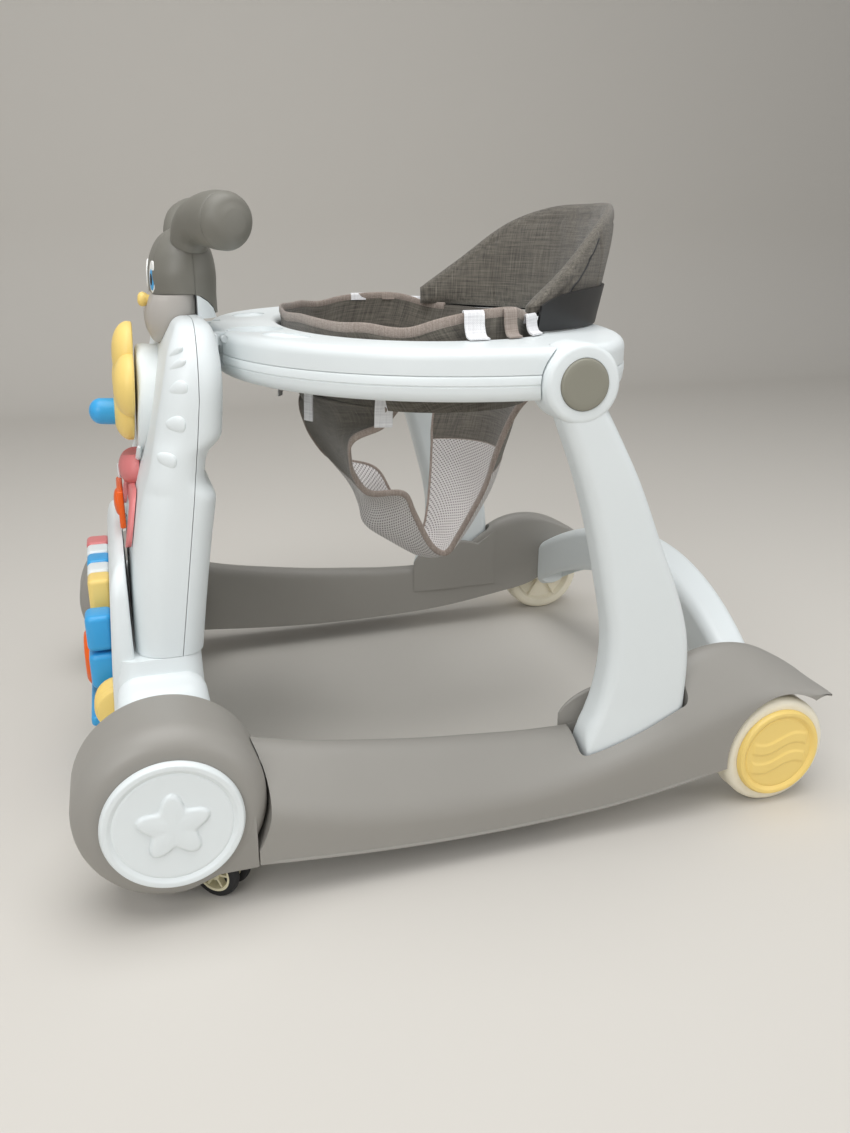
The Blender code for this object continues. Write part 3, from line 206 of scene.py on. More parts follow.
# %% Cutting, joining and finishing
def settle(piece):
    """Replace a piece's mesh by what its modifiers make of it."""
    bpy.context.view_layer.update()
    graph = bpy.context.evaluated_depsgraph_get()
    made = bpy.data.meshes.new_from_object(piece.evaluated_get(graph))
    piece.modifiers.clear()
    piece.data = made
    return piece


def carve(piece, *cutters, how="DIFFERENCE"):
    """Cut the cutters out of a piece, or join them to it with how="UNION", and remove them."""
    for cutter in cutters:
        step = piece.modifiers.new(cutter.name, "BOOLEAN")
        step.operation = how
        step.object = cutter
    settle(piece)
    for cutter in cutters:
        bpy.data.objects.remove(cutter, do_unlink=True)
    return piece


def block(name, low, high, edge=0.0):
    """A block with rounded upright edges, from its lowest to its highest corner."""
    section = corners(low[0], high[0], low[1], high[1], [edge] * 4, 5 if edge else 2)[0]
    grid = np.stack([np.column_stack([section, np.full(len(section), z)]) for z in (low[2], high[2])])
    return surface(name, grid)


def cylinder(name, centre, axis, radius, low, high, steps=64):
    """A cylinder from low to high along its axis."""
    return turned(name, [(0, low), (radius, low), (radius, high), (0, high)], centre, axis, steps)


def soften(piece, width, segments=3, angle=35):
    """Round every edge sharper than angle."""
    bevel = piece.modifiers.new("soft edges", "BEVEL")
    bevel.width = width
    bevel.segments = segments
    bevel.angle_limit = math.radians(angle)
    return settle(piece)


def finish(piece, body, look, stands_for=(), angle=38):
    """Smooth it, give it its material, let it ride on its body and hide the imported parts it stands for."""
    piece.data.shade_smooth()
    piece.data.set_sharp_from_angle(angle=math.radians(angle))
    piece.data.materials.clear()
    piece.data.materials.append(look)
    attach(piece, body)
    if stands_for:
        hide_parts(*stands_for)
    print(piece.name, len(piece.data.polygons), "faces")
    return piece


def sided(side, *points):
    """Mirror points across the middle plane for the right-hand side."""
    out = np.asarray(points, float) * (side, 1, 1)
    return out[0] if len(points) == 1 else out


# %% [markdown]
# ## Finishes
#
# Nearly everything is injection-moulded polypropylene. Its skin is fine spark-eroded grain, so it
# shines softly, and it is never one even tone: the flow of the melt and years of hands leave faint
# clouds. The seat is a melange weave, whose light and dark yarns show as short streaks along both
# thread directions, and the sling under it is spacer mesh, a white knit with rows of small holes.

# %% Colour and node helpers
def linear(hexcode):
    """sRGB hex to linear light, with alpha 1."""
    c = np.array([int(hexcode[i:i + 2], 16) / 255 for i in (0, 2, 4)])
    c = np.where(c <= 0.04045, c / 12.92, ((c + 0.055) / 1.055) ** 2.4)
    return (*c.tolist(), 1.0)


def node(tree, kind, inputs=None, **settings):
    """Add a node with its settings, its socket values and its links."""
    made = tree.nodes.new(kind)
    for name, value in settings.items():
        setattr(made, name, value)
    for socket, value in (inputs or {}).items():
        if isinstance(value, bpy.types.NodeSocket):
            tree.links.new(value, made.inputs[socket])
        else:
            made.inputs[socket].default_value = value
    return made


def new_material(name, roughness, metallic=0.0, ior=1.5, sheen=0.0):
    look = bpy.data.materials.new(name)
    look.use_nodes = True
    shader = look.node_tree.nodes["Principled BSDF"]
    shader.inputs["Roughness"].default_value = roughness
    shader.inputs["Metallic"].default_value = metallic
    if not metallic:
        shader.inputs["IOR"].default_value = ior
    shader.inputs["Sheen Weight"].default_value = sheen
    return look, look.node_tree, shader


# %% Moulded plastic
def moulded(name, hexcode, roughness=0.42, grain=0.0012, clouds=0.05, metallic=0.0):
    """Polypropylene from a spark-eroded mould.

    The grain is drawn 1.2 mm apart because the real 0.2 mm can't show, and the clouds are 11 cm wide.
    """
    look, tree, shader = new_material(name, roughness, metallic, 1.49)
    place = node(tree, "ShaderNodeTexCoord").outputs["Object"]
    cloud = node(tree, "ShaderNodeTexNoise", {"Vector": place, "Scale": 9.0, "Detail": 4.0, "Roughness": 0.55})
    base = np.array(linear(hexcode)[:3])
    darker, lighter = (*(base * (1 - clouds)), 1), (*np.minimum(base * (1 + clouds), 1), 1)
    tones = node(tree, "ShaderNodeMix", {"Factor": cloud.outputs["Fac"], 6: darker, 7: lighter},
                 data_type="RGBA")
    tree.links.new(tones.outputs[2], shader.inputs["Base Color"])
    polish = node(tree, "ShaderNodeMapRange", {"Value": cloud.outputs["Fac"], "From Min": 0.3, "From Max": 0.7,
                                               "To Min": roughness - 0.05, "To Max": roughness + 0.06})
    tree.links.new(polish.outputs[0], shader.inputs["Roughness"])
    fine = node(tree, "ShaderNodeTexNoise", {"Vector": place, "Scale": 1 / grain, "Detail": 2.0})
    bump = node(tree, "ShaderNodeBump", {"Height": fine.outputs["Fac"], "Strength": 0.12, "Distance": 0.00012})
    tree.links.new(bump.outputs[0], shader.inputs["Normal"])
    return look


WHITE = moulded("white_polypropylene", "E4EAEB", 0.40, clouds=0.02)
GREY = moulded("grey_polypropylene", "96938D", 0.44, clouds=0.05)
DARK = moulded("dark_grey_polypropylene", "76746C", 0.46, clouds=0.04)
CAP_GREY = moulded("pivot_cap_polypropylene", "8C8A7D", 0.50, clouds=0.03)
MUZZLE = moulded("muzzle_polypropylene", "B7B2AC", 0.46, clouds=0.03)
YELLOW = moulded("yellow_polypropylene", "F5D67E", 0.42, clouds=0.03)
BLUE = moulded("blue_polypropylene", "3CA5E1", 0.34, clouds=0.03)
ORANGE = moulded("orange_polypropylene", "F06414", 0.34, clouds=0.03)
PINK = moulded("pink_polypropylene", "D77D7D", 0.40, clouds=0.03)
CREAM = moulded("cream_polypropylene", "F0E9D4", 0.46, clouds=0.03)
HUB_CREAM = moulded("caster_hub_polypropylene", "EBE4C3", 0.45, clouds=0.03)
BLACK = moulded("black_polypropylene", "1A1A1B", 0.42, clouds=0.10)
TYRE = moulded("black_tyre_polyurethane", "202021", 0.62, clouds=0.12)
STEEL = moulded("turned_steel", "9A9A9A", 0.30, metallic=1.0)
BOARD = moulded("circuit_board_mask", "1E5A36", 0.40, clouds=0.05)
EYE_WHITE = moulded("eye_white_print", "F4F5F2", 0.30, clouds=0.01)
EYE_DARK = moulded("eye_pupil_print", "20252B", 0.28, clouds=0.05)


# %% Woven cloth, tape and mesh
def woven(name, dark, light, pitch=0.0016, contrast=0.5, streak=26.0, bump=0.00035, sheen=0.25):
    """Plain weave read from the thread attribute, in metres along warp and weft.

    Height is sin(warp) * sin(weft). Each yarn's tone is noise stretched along the thread, once for warp
    and once for weft. The real yarns are 0.5 mm apart and are drawn 1.6 mm apart to show.
    """
    look, tree, shader = new_material(name, 0.9, sheen=sheen)
    shader.inputs["Sheen Roughness"].default_value = 0.5
    place = node(tree, "ShaderNodeAttribute", attribute_name="thread").outputs["Vector"]
    parts = node(tree, "ShaderNodeSeparateXYZ", {0: place})
    waves, tones = [], []
    for k in (0, 1):
        phase = node(tree, "ShaderNodeMath", {0: parts.outputs[k], 1: TURN / pitch}, operation="MULTIPLY")
        waves.append(node(tree, "ShaderNodeMath", {0: phase.outputs[0]}, operation="SINE").outputs[0])
        scale = [1 / pitch, 1 / pitch, 1 / pitch]
        scale[k] = streak
        yarns = node(tree, "ShaderNodeMapping", {"Vector": place, "Scale": scale, "Location": (k * 3.1, 0, 0)})
        streaks = {"Vector": yarns.outputs[0], "Scale": 1.0, "Detail": 2.0, "Roughness": 0.7}
        tones.append(node(tree, "ShaderNodeTexNoise", streaks).outputs["Fac"])
    weave = node(tree, "ShaderNodeMath", {0: waves[0], 1: waves[1]}, operation="MULTIPLY").outputs[0]
    tone = node(tree, "ShaderNodeMath", {0: tones[0], 1: tones[1]}, operation="ADD").outputs[0]
    spread = node(tree, "ShaderNodeMapRange", {"Value": tone, "From Min": 1 - 0.32 * contrast,
                                               "From Max": 1 + 0.40 * contrast})
    colour = node(tree, "ShaderNodeMix", {"Factor": spread.outputs[0], 6: linear(dark), 7: linear(light)},
                  data_type="RGBA")
    tree.links.new(colour.outputs[2], shader.inputs["Base Color"])
    lift = node(tree, "ShaderNodeBump", {"Height": weave, "Strength": 0.5, "Distance": bump})
    tree.links.new(lift.outputs[0], shader.inputs["Normal"])
    return look


MELANGE = woven("melange_polyester", "45413B", "7D776C", contrast=0.9)
TAPE = woven("taupe_binding_tape", "8D8077", "A99C92", pitch=0.0012, contrast=0.5)
WEBBING = woven("white_webbing", "DADADC", "F3F3F4", pitch=0.0018, contrast=0.6, sheen=0.1)


def spacer_mesh(name, pitch=0.0058):
    """White knit with staggered oval holes: cos(x) * cos(y), cut at a level. The holes are painted a darker grey
    as shade.
    """
    look, tree, shader = new_material(name, 0.85, sheen=0.2)
    place = node(tree, "ShaderNodeAttribute", attribute_name="thread").outputs["Vector"]
    scale = (TURN / pitch, TURN / (pitch * 0.72), 1.0)
    squeezed = node(tree, "ShaderNodeMapping", {"Vector": place, "Scale": scale})
    parts = node(tree, "ShaderNodeSeparateXYZ", {0: squeezed.outputs[0]})
    waves = [node(tree, "ShaderNodeMath", {0: parts.outputs[k]}, operation="COSINE").outputs[0]
             for k in (0, 1)]
    grid = node(tree, "ShaderNodeMath", {0: waves[0], 1: waves[1]}, operation="MULTIPLY").outputs[0]
    hole = node(tree, "ShaderNodeMapRange", {"Value": grid, "From Min": 0.22, "From Max": 0.48}).outputs[0]
    # Painted shade: the holes get a darker grey to stand for the shade inside the openings, which the bump alone
    # does not give.
    tones = {"Factor": hole, 6: linear("D8D4D2"), 7: linear("86807D")}
    colour = node(tree, "ShaderNodeMix", tones, data_type="RGBA")
    tree.links.new(colour.outputs[2], shader.inputs["Base Color"])
    low = node(tree, "ShaderNodeMath", {0: 1.0, 1: hole}, operation="SUBTRACT").outputs[0]
    lift = node(tree, "ShaderNodeBump", {"Height": low, "Strength": 0.9, "Distance": 0.0008})
    tree.links.new(lift.outputs[0], shader.inputs["Normal"])
    return look


AIR_MESH = spacer_mesh("white_spacer_mesh")
print(len(bpy.data.materials), "finishes")

# %% [markdown]
# ## The rails
#
# Each side rail is one long blow-thin moulding. Its outer wall stands upright, a crease runs along it,
# and above the crease the top rises inwards to a soft crest. Towards the back the whole section climbs,
# swells into a mudguard over the rear wheel and ends in a thin lip. A table of heights along the rail
# gives the section at each station, so the surface is one sweep and every highlight runs its length.
# The underside is hollow ahead of the leg, as a real moulding is.

# %% Rail section
RAIL_Y = (-0.2144, -0.17, -0.12, -0.06, 0.0, 0.06, 0.11, 0.16, 0.20, 0.225, 0.25, 0.275, 0.30, 0.33, 0.35,
          0.361)
RAIL_LOW = (0.040, 0.036, 0.032, 0.029, 0.028, 0.029, 0.031, 0.036, 0.042, 0.046, 0.050, 0.057, 0.072, 0.101,
            0.1125, 0.1135)
RAIL_CREASE = (0.090, 0.078, 0.066, 0.060, 0.058, 0.061, 0.070, 0.082, 0.094, 0.102, 0.110, 0.117, 0.121,
               0.121, 0.118, 0.1145)
RAIL_CREST = (0.136, 0.125, 0.1165, 0.108, 0.102, 0.097, 0.0975, 0.117, 0.143, 0.156, 0.161, 0.160, 0.153,
              0.137, 0.124, 0.1155)
HOUSING_Y, HOUSING_Z = -0.2825, 0.098
WHEEL_Y, WHEEL_Z = 0.3055, 0.057


def rail_grid(side, ys, inset=0.0, below=0.0):
    """Sections across X at each y: outer wall, crease, and a top that rises inwards by crest - crease.

    For the hollow, inset is the wall's thickness and below is how far the cutter reaches out underneath.
    """
    low, crease, crest = (through(RAIL_Y, heights, ys) for heights in (RAIL_LOW, RAIL_CREASE, RAIL_CREST))
    rise = crest - crease
    inner, outer, flat = 0.240, 0.302, np.zeros_like(rise)
    columns = [(flat + inner, low), (flat + inner, low), (flat + inner, (low + crease) / 2),
               (flat + inner, crest - 0.42 * rise), (inner + 0.001 + flat, crest - 0.10 * rise),
               (inner + 0.009 + flat, crest + 0.0008), (inner + 0.020 + flat, crest - 0.02 * rise),
               (inner + 0.034 + flat, crest - 0.30 * rise), (outer - 0.013 + flat, crest - 0.64 * rise),
               (outer - 0.004 + flat, crease + 0.13 * rise), (outer + flat, crease - 0.004),
               (outer + flat, (low + crease) / 2), (outer + flat, low), (outer + flat, low)]
    columns = [(np.clip(x, inner + inset, outer - inset), np.where(z > low, z - 1.2 * inset, z - below))
               for x, z in columns]
    section = np.stack([np.stack([side * x, ys, z], -1) for x, z in columns], 1)
    return cut_corners(section, 2, closed=True)


# %% Make the rails
for label, side in SIDES:
    ys = np.linspace(RAIL_Y[0], RAIL_Y[-1], 150)
    rail = surface("rail_skin_" + label, rail_grid(side, ys))
    hollow = surface("hollow", rail_grid(side, ys[(ys > -0.20) & (ys < 0.08)], 0.0035, 0.03))
    arch = cylinder("arch", (side * 0.300, WHEEL_Y + 0.002, 0.059), (1, 0, 0), 0.0615, -0.036, 0.036, 96)
    seat = cylinder("seat", (side * 0.27, HOUSING_Y, HOUSING_Z), (1, 0, 0), 0.081, -0.05, 0.05, 96)
    low, high = sorted((side * 0.2450, side * 0.2850))
    well = block("well", (low, 0.0945, 0.0522), (high, 0.2083, 0.25), 0.006)
    axle = cylinder("axle", (side * 0.25, WHEEL_Y, WHEEL_Z), (1, 0, 0), 0.0054, -0.025, 0.025, 32)
    carve(rail, hollow, arch, seat, well, axle)
    finish(rail, "base", GREY, ["rail_" + label], angle=32)

# %% [markdown]
# A light lip runs along the foot of each rail's outer wall, where the mould closes. In front of each
# leg the rail rises in a rounded collar that hides where the leg goes in.

# %% Lips and collars
for label, side in SIDES:
    ys = np.linspace(-0.205, 0.232, 90)
    foot = through(RAIL_Y, RAIL_LOW, ys)
    fade = 0.0009 * ease((ys + 0.205) / 0.01) * ease((0.232 - ys) / 0.03)
    strip = [(0.3012 + 0 * ys, foot + 0.0002), (0.3019 + fade, foot + 0.0004), (0.3019 + fade, foot + 0.0024),
             (0.3012 + 0 * ys, foot + 0.0034)]
    lip = surface("rail_lip_" + label, np.stack([np.stack([side * x, ys, z], -1) for x, z in strip], 1))
    finish(lip, "base", GREY, angle=60)
    ys = np.linspace(0.090, 0.214, 60)
    arch = np.clip(1 - ((ys - 0.150) / 0.062) ** 2, 0, 1) ** 0.5
    crest = through(RAIL_Y, RAIL_CREST, ys)
    top = np.maximum(0.096 + 0.036 * arch, crest - 0.010)
    half = 0.0048 * np.clip(arch, 0.25, 1)
    outline = corners(0.2392 - half * 0.3, 0.2392 + half, 0.060, top, [0.004, 0.0035, 0.001, 0.001], 6)
    along = np.broadcast_to(ys[:, None], outline.shape[:2])
    collar = surface("leg_collar_" + label, np.stack([side * outline[..., 0], along, outline[..., 1]], -1))
    finish(collar, "base", GREY)

# %% [markdown]
# ## The corner housings
#
# A round housing closes each front corner. It is turned like a barrel, with a generous outer shoulder
# and a small inner one, and carries a skirt that the rail butts against. Its open pocket underneath
# takes the caster. The white cap has a raised rim and a soft five-pointed star, so it is a height
# field over polar coordinates and not a turned disc.

# %% Corner housings
for label, side in SIDES:
    a = np.linspace(0, np.pi / 2, 12)
    shoulder = np.column_stack([0.060 + 0.020 * np.sin(a), 0.0545 + 0.026 * np.cos(a)])
    back = np.column_stack([0.068 + 0.012 * np.cos(a), 0.012 - 0.012 * np.sin(a)])
    profile = np.concatenate([[(0, 0.0805), (0.057, 0.0805)], shoulder, back, [(0, 0)]])
    place = (side * 0.2225, HOUSING_Y, HOUSING_Z)
    housing = turned("housing_skin_" + label, profile, place, (side, 0, 0), 128)
    low, high = sorted((side * 0.242, side * 0.3015))
    skirt = soften(block("skirt", (low, -0.272, 0.0375), (high, -0.2150, 0.089)), 0.0016, 2)
    carve(housing, skirt, how="UNION")
    carve(housing, cylinder("pocket", (side * 0.256, -0.258, 0.02), (0, 0, 1), 0.0445, -0.03, 0.040),
          cylinder("stem", (side * 0.256, -0.258, 0.07), (0, 0, 1), 0.0054, -0.025, 0.025, 24))
    finish(housing, "base", GREY, ["corner_housing_" + label], angle=30)


# %% Star caps
def polar_cap(name, centre, side, radius, height, steps=180, rings=70):
    """A disc whose face is centre + height(r, turn) along X, its edge carried back to the centre's plane."""
    r = np.linspace(0, 1, rings)[1:] ** 0.85 * radius
    a = np.linspace(0, TURN, steps, endpoint=False)
    R, A = np.meshgrid(r, a, indexing="ij")
    face = np.stack([side * height(R, A), R * np.sin(A), R * np.cos(A)], -1)
    return surface(name, np.asarray(centre, float) + np.concatenate([face, face[-1:] * (0, 1, 1)]))


def soft_step(value, width):
    """0 to 1 over width, centred on 0."""
    return ease(0.5 + value / width)


def star_height(r, turn):
    """Rim ring, a groove inside it, a shallow dish, and a puffed star with a soft outline and top."""
    outline = 0.0192 + 0.0113 * (0.5 + 0.5 * np.cos(5 * turn)) ** 1.05
    inside = (outline - r) / 0.0042
    star = 0.0029 * np.sqrt(np.clip(1 - (1 - np.clip(inside, 0, 1)) ** 2, 0, 1)) + 0.0006 * ease(inside / 4)
    rim = 0.0022 * soft_step(r - 0.0505, 0.004) - 0.0040 * ease((r - 0.0555) / 0.0025) ** 2
    groove = -0.0006 * np.exp(-((r - 0.0485) / 0.0009) ** 2)
    return 0.0040 + 0.0004 * (r / 0.048) ** 2 * (r < 0.0495) + star + rim + groove


for label, side in SIDES:
    place = (side * 0.3034, HOUSING_Y, HOUSING_Z - 0.002)
    cap = polar_cap("star_cap_skin_" + label, place, side, 0.058, star_height)
    finish(cap, "base", WHITE, ["star_cap_" + label], angle=50)

# %% [markdown]
# ## The front bridge
#
# Between the housings runs a white bridge. Its middle rises in a collar that the column stands on, with
# a tongue that reaches up inside the column, and its ends flare out towards the housings. The front
# carries the toy panel. All four overlap and are joined, then the pockets for the toys are cut.

# %% Front bridge
DIAL = (0.010, -0.3200, 0.1270)
PUSH = (-0.070, -0.3240, 0.1330)
ROLLER = (0.1120, -0.3185, 0.1180)
flare = np.linspace(0.150, 0.2219, 22)
x = np.concatenate([-flare[::-1], np.linspace(-0.13, 0.13, 7), flare])
out = abs(x)
front = np.interp(out, (0, 0.155, 0.19, 0.222), (-0.318, -0.318, -0.322, -0.330))
rear = np.interp(out, (0, 0.155, 0.19, 0.222), (-0.2385, -0.2385, -0.234, -0.226))
low = np.interp(out, (0, 0.155, 0.222), (0.060, 0.060, 0.045))
top = through((0, 0.150, 0.160, 0.175, 0.198, 0.222), (0.150, 0.150, 0.1645, 0.152, 0.146, 0.150), out)
yz = corners(front, rear, low, top, [0.020] * 4, 8)
bridge = surface("bridge_skin", spanned(x, yz))
z, half, radius = np.array([(0.10, 0.165, 0.020), (0.145, 0.1645, 0.020), (0.155, 0.1600, 0.020),
                            (0.164, 0.1568, 0.021), (0.1765, 0.1538, 0.022)]).T
collar = surface("collar", lifted(corners(-half, half, -0.3178, -0.2385, [radius] * 4, 8), z))
tongue = block("tongue", (-0.1400, -0.2870, 0.12), (0.1400, -0.2425, 0.255), 0.004)
z, half, front = np.array([(0.10, 0.148, -0.3245), (0.17, 0.148, -0.3205), (0.235, 0.144, -0.3160),
                           (0.248, 0.1385, -0.3137), (0.256, 0.132, -0.3110), (0.260, 0.125, -0.3085),
                           (0.262, 0.118, -0.3060)]).T
panel = surface("panel", lifted(corners(-half, half, front, -0.3000, [0.004, 0.004, 0.012, 0.012], 6), z))
carve(bridge, collar, tongue, panel, how="UNION")
carve(bridge, block("keys", (-0.117, -0.34, 0.1775), (0.0475, -0.3110, 0.2235)),
      block("buttons", (0.0525, -0.34, 0.1200), (0.0875, -0.3125, 0.2000)),
      cylinder("spindle", DIAL, (0, 1, 0), 0.0084, -0.006, 0.006, 32),
      cylinder("push", PUSH, (0, 1, 0), 0.0216, -0.010, 0.010, 48),
      cylinder("roller", ROLLER, (1, 0, 0), 0.0250, -0.01925, 0.01925, 48),
      cylinder("bore", ROLLER, (1, 0, 0), 0.0034, -0.0265, 0.0265, 20))
finish(bridge, "base", WHITE, ["front_base"], angle=32)

# %% [markdown]
# ## The rear crossbar
#
# A white arched bar ties the rails together behind the seat. It is highest and furthest back in the
# middle, so that a child's heels clear it.

# %% Rear crossbar
def bar_grid(x, front, rear, low, high, radius, steps):
    """Rounded rectangles along X, carried back and up by the arch 1 - (x / 0.24)^2."""
    arch = 1 - (x / 0.24) ** 2
    yz = corners(front + 0.012 * arch, rear + 0.024 * arch, low + 0.076 * arch, high + 0.072 * arch,
                 [radius] * 4, steps)
    return spanned(x, yz)


solid = bar_grid(np.linspace(-0.2395, 0.2395, 72), 0.284, 0.322, 0.050, 0.118, 0.014, 8)
bar = surface("crossbar_skin", solid)
hollow = bar_grid(np.linspace(-0.232, 0.232, 48), 0.287, 0.319, 0.02, 0.115, 0.012, 6)
carve(bar, surface("inside", hollow))
finish(bar, "base", WHITE, ["rear_crossbar"], angle=40)

# %% [markdown]
# ## Wheels
#
# The rear wheels are cream mouldings with a rounded tread and a dished inner face. A yellow cap clips
# into each one, with two wavy raised fields on it. The casters are pairs of narrow black tyres on
# cream spoked hubs, one each side of a black fork that swivels.

# %% Rear wheels and their caps
def wave_height(r, turn):
    """Raised rim, a groove inside it, and two raised fields that follow 4.5 mm * sin(2 pi x / 66 mm)."""
    across, up = r * np.sin(turn), r * np.cos(turn)
    wave = 0.0045 * np.sin(TURN * across / 0.066)
    fields = 0
    for centre in (0.0105, -0.0105):
        distance = 0.0075 - abs(up - centre - wave)
        reach = 0.0325 - abs(across)
        fields = np.maximum(fields, ease(np.minimum(distance, reach) / 0.0035))
    rim = 0.0022 * soft_step(r - 0.0400, 0.004) - 0.0028 * ease((r - 0.0440) / 0.0025) ** 2
    groove = -0.0007 * np.exp(-((r - 0.0378) / 0.0008) ** 2)
    return 0.0030 + 0.0014 * fields + rim + groove


WHEEL_X = 0.2825
for label, side in SIDES:
    a = np.linspace(0, np.pi / 2, 8)
    outer = np.column_stack([0.0490 + 0.0080 * np.sin(a), 0.0080 + 0.0080 * np.cos(a)])
    inner = np.column_stack([0.0490 + 0.0080 * np.cos(a), -0.0080 - 0.0080 * np.sin(a)])
    dish = [(0.0440, -0.016), (0.0425, -0.0145), (0.0400, -0.008), (0.0380, -0.0075), (0.0160, -0.0075),
            (0.0140, -0.016), (0.0054, -0.016)]
    profile = np.concatenate([[(0.0054, 0.016)], outer, inner, dish])
    wheel = turned("rear_wheel_skin_" + label, profile, (side * WHEEL_X, WHEEL_Y, WHEEL_Z), (side, 0, 0), 96,
                   closed=True)
    ribs = []
    for turn in np.arange(6) * TURN / 6:
        out = np.array((0, math.cos(turn), math.sin(turn)))
        across = np.array((0, math.sin(turn), -math.cos(turn)))
        rows = [(side * (WHEEL_X - depth), WHEEL_Y, WHEEL_Z) + r * out + v * across for r in (0.012, 0.042)
                for depth, v in ((0.006, -0.0016), (0.006, 0.0016), (0.0125, 0.0012), (0.0125, -0.0012))]
        ribs.append(surface("rib", np.array(rows).reshape(2, 4, 3)))
    carve(wheel, *ribs, how="UNION")
    finish(wheel, "rear_wheel_" + label, CREAM, ["rear_wheel_" + label], angle=35)
    cap = polar_cap("wheel_cap_skin_" + label, (side * 0.2989, WHEEL_Y, WHEEL_Z), side, 0.0465, wave_height,
                    steps=200, rings=90)
    finish(cap, "rear_wheel_" + label, YELLOW, ["wheel_cap_" + label], angle=50)

# %% Casters
for label, side in SIDES:
    trail = np.array((side * math.cos(math.radians(50)), math.sin(math.radians(50)), 0))
    across = np.array((-trail[1], trail[0], 0))
    stem = np.array((side * 0.256, -0.258, 0))
    hub = stem + trail * 0.018 + (0, 0, 0.0225)
    disc = [(0, 0.0), (0.0150, 0.0), (0.0170, 0.0015), (0.0170, 0.0045), (0.0155, 0.006), (0, 0.006)]
    crown = turned("fork_skin_" + label, disc, stem + (0, 0, 0.0495), (0, 0, 1), 48)
    post = cylinder("post", stem + (0, 0, 0.068), (0, 0, 1), 0.005, -0.018, 0.018, 28)
    z = np.linspace(0.0530, 0.0150, 14)
    back = np.interp(z, (0.015, 0.034, 0.0525), (0.0105, 0.004, -0.012))
    ahead = np.interp(z, (0.015, 0.034, 0.0525), (0.0250, 0.0235, 0.012))
    uv = corners(back, ahead, -0.0030, 0.0030, [0.0028] * 4, 5)
    rise = z[:, None, None] * np.array((0, 0, 1))
    arm = surface("arm", stem + uv[..., :1] * trail + uv[..., 1:] * across + rise)
    axle = cylinder("axle", hub, across, 0.0021, -0.0145, 0.0145, 20)
    carve(crown, post, arm, axle, how="UNION")
    finish(crown, "caster_" + label, BLACK, ["caster_fork_" + label])
    for place, sign in (("outer", -side), ("inner", side)):
        middle = hub + across * (sign * 0.0095)
        wheel_body = f"caster_wheel_{place}_{label}"
        profile = [(0.0165, 0.0048), (0.0195, 0.0050), (0.0215, 0.0040), (0.0225, 0.0018), (0.0225, -0.0018),
                   (0.0215, -0.0040), (0.0195, -0.0050), (0.0165, -0.0048)]
        tyre = turned("caster_tyre_" + place + "_" + label, profile, middle, across * sign, 64, closed=True)
        finish(tyre, wheel_body, TYRE, [wheel_body])
        hub_ring = turned("caster_hub_" + place + "_" + label,
                          [(0.0142, 0.0046), (0.0166, 0.0046), (0.0166, -0.0046), (0.0142, -0.0046)],
                          middle, across * sign, 48, closed=True)
        boss = turned("boss", [(0.0024, 0.0048), (0.0050, 0.0048), (0.0056, 0.0042), (0.0056, -0.0048),
                               (0.0024, -0.0048)], middle, across * sign, 32, closed=True)
        ahead, right, up = basis(across * sign)
        spokes = []
        for k in range(6):
            way = math.cos(k * TURN / 6) * right + math.sin(k * TURN / 6) * up
            wide = np.cross(ahead, way)
            rows = [[middle + way * r + wide * v * w + ahead * d for v, d in
                     ((-1, 0.0030), (1, 0.0030), (1, -0.0030), (-1, -0.0030))] for r, w in
                    ((0.0045, 0.0013), (0.0150, 0.0009))]
            spokes.append(surface("spoke", np.array(rows)))
        carve(hub_ring, boss, *spokes, how="UNION")
        finish(hub_ring, wheel_body, HUB_CREAM)

# %% [markdown]
# ## The toy column
#
# Two white shells close on a seam that runs up each side of the column. The front corners are very
# round and the rear ones tighter, the shoulders fall away at the top, and a channel crosses the back
# at hand height so an adult can lift it. The column slides down over a tongue and stands on the
# bridge's collar.

# %% Column outline
SEAM = ((-0.2590, 0.16), (-0.2430, 0.269), (-0.2310, 0.352), (-0.2240, 0.413), (-0.2200, 0.50))


def column_front_y(z):
    """The front wall leans back as it rises."""
    return through((0.177, 0.245, 0.283, 0.321, 0.348, 0.400, 0.430, 0.454, 0.478),
                   (-0.2985, -0.2945, -0.2885, -0.2800, -0.2715, -0.2590, -0.2520, -0.2455, -0.2345), z)


def column_rear_y(z):
    """The rear wall, with a channel 13 mm deep at hand height."""
    rear = through((0.177, 0.228, 0.286, 0.326, 0.386, 0.463, 0.478),
                   (-0.2360, -0.2290, -0.2200, -0.2130, -0.2040, -0.2030, -0.2080), z)
    return rear - 0.013 * np.exp(-((z - 0.352) / 0.021) ** 4)


def column_half(z):
    """Half the width: straight up to the shoulders, which fall on a power curve."""
    fall = np.clip((np.asarray(z, float) - 0.405) / 0.073, 0, 1)
    return 0.1535 - 0.052 * (1 - np.sqrt(np.maximum(1 - fall ** 2.4, 0)))


def column_grid(zs, inset=0.0):
    """Rounded rectangles up the column; near the top each shrinks on a quarter circle, so the edge is soft."""
    crown = 0.007 * (1 - np.sqrt(np.maximum(1 - np.clip((zs - 0.471) / 0.007, 0, 1) ** 2, 0))) * (inset == 0)
    half = column_half(zs) - inset - crown
    front, rear = column_front_y(zs) + inset + crown, column_rear_y(zs) - inset - crown
    big = np.minimum(0.030, (rear - front) * 0.55) - inset
    return lifted(corners(-half, half, front, rear, [0.022 - inset, 0.022 - inset, big, big], 12), zs)


def seam_slab(name, edge, far):
    """A cutter from the seam plane, moved by edge along Y, as far as far: behind it where far > 0."""
    square = ((-0.2, edge), (-0.2, far), (0.2, far), (0.2, edge))
    return surface(name, np.array([[(x, y + move, z) for x, move in square] for y, z in SEAM]))


def stacked(rows):
    """Rounded rectangles from rows of (z, half width, front, rear, corner radius)."""
    z, half, front, rear, radius = np.asarray(rows, float).T
    return lifted(corners(-half, half, front, rear, [radius] * 4, 12), z)


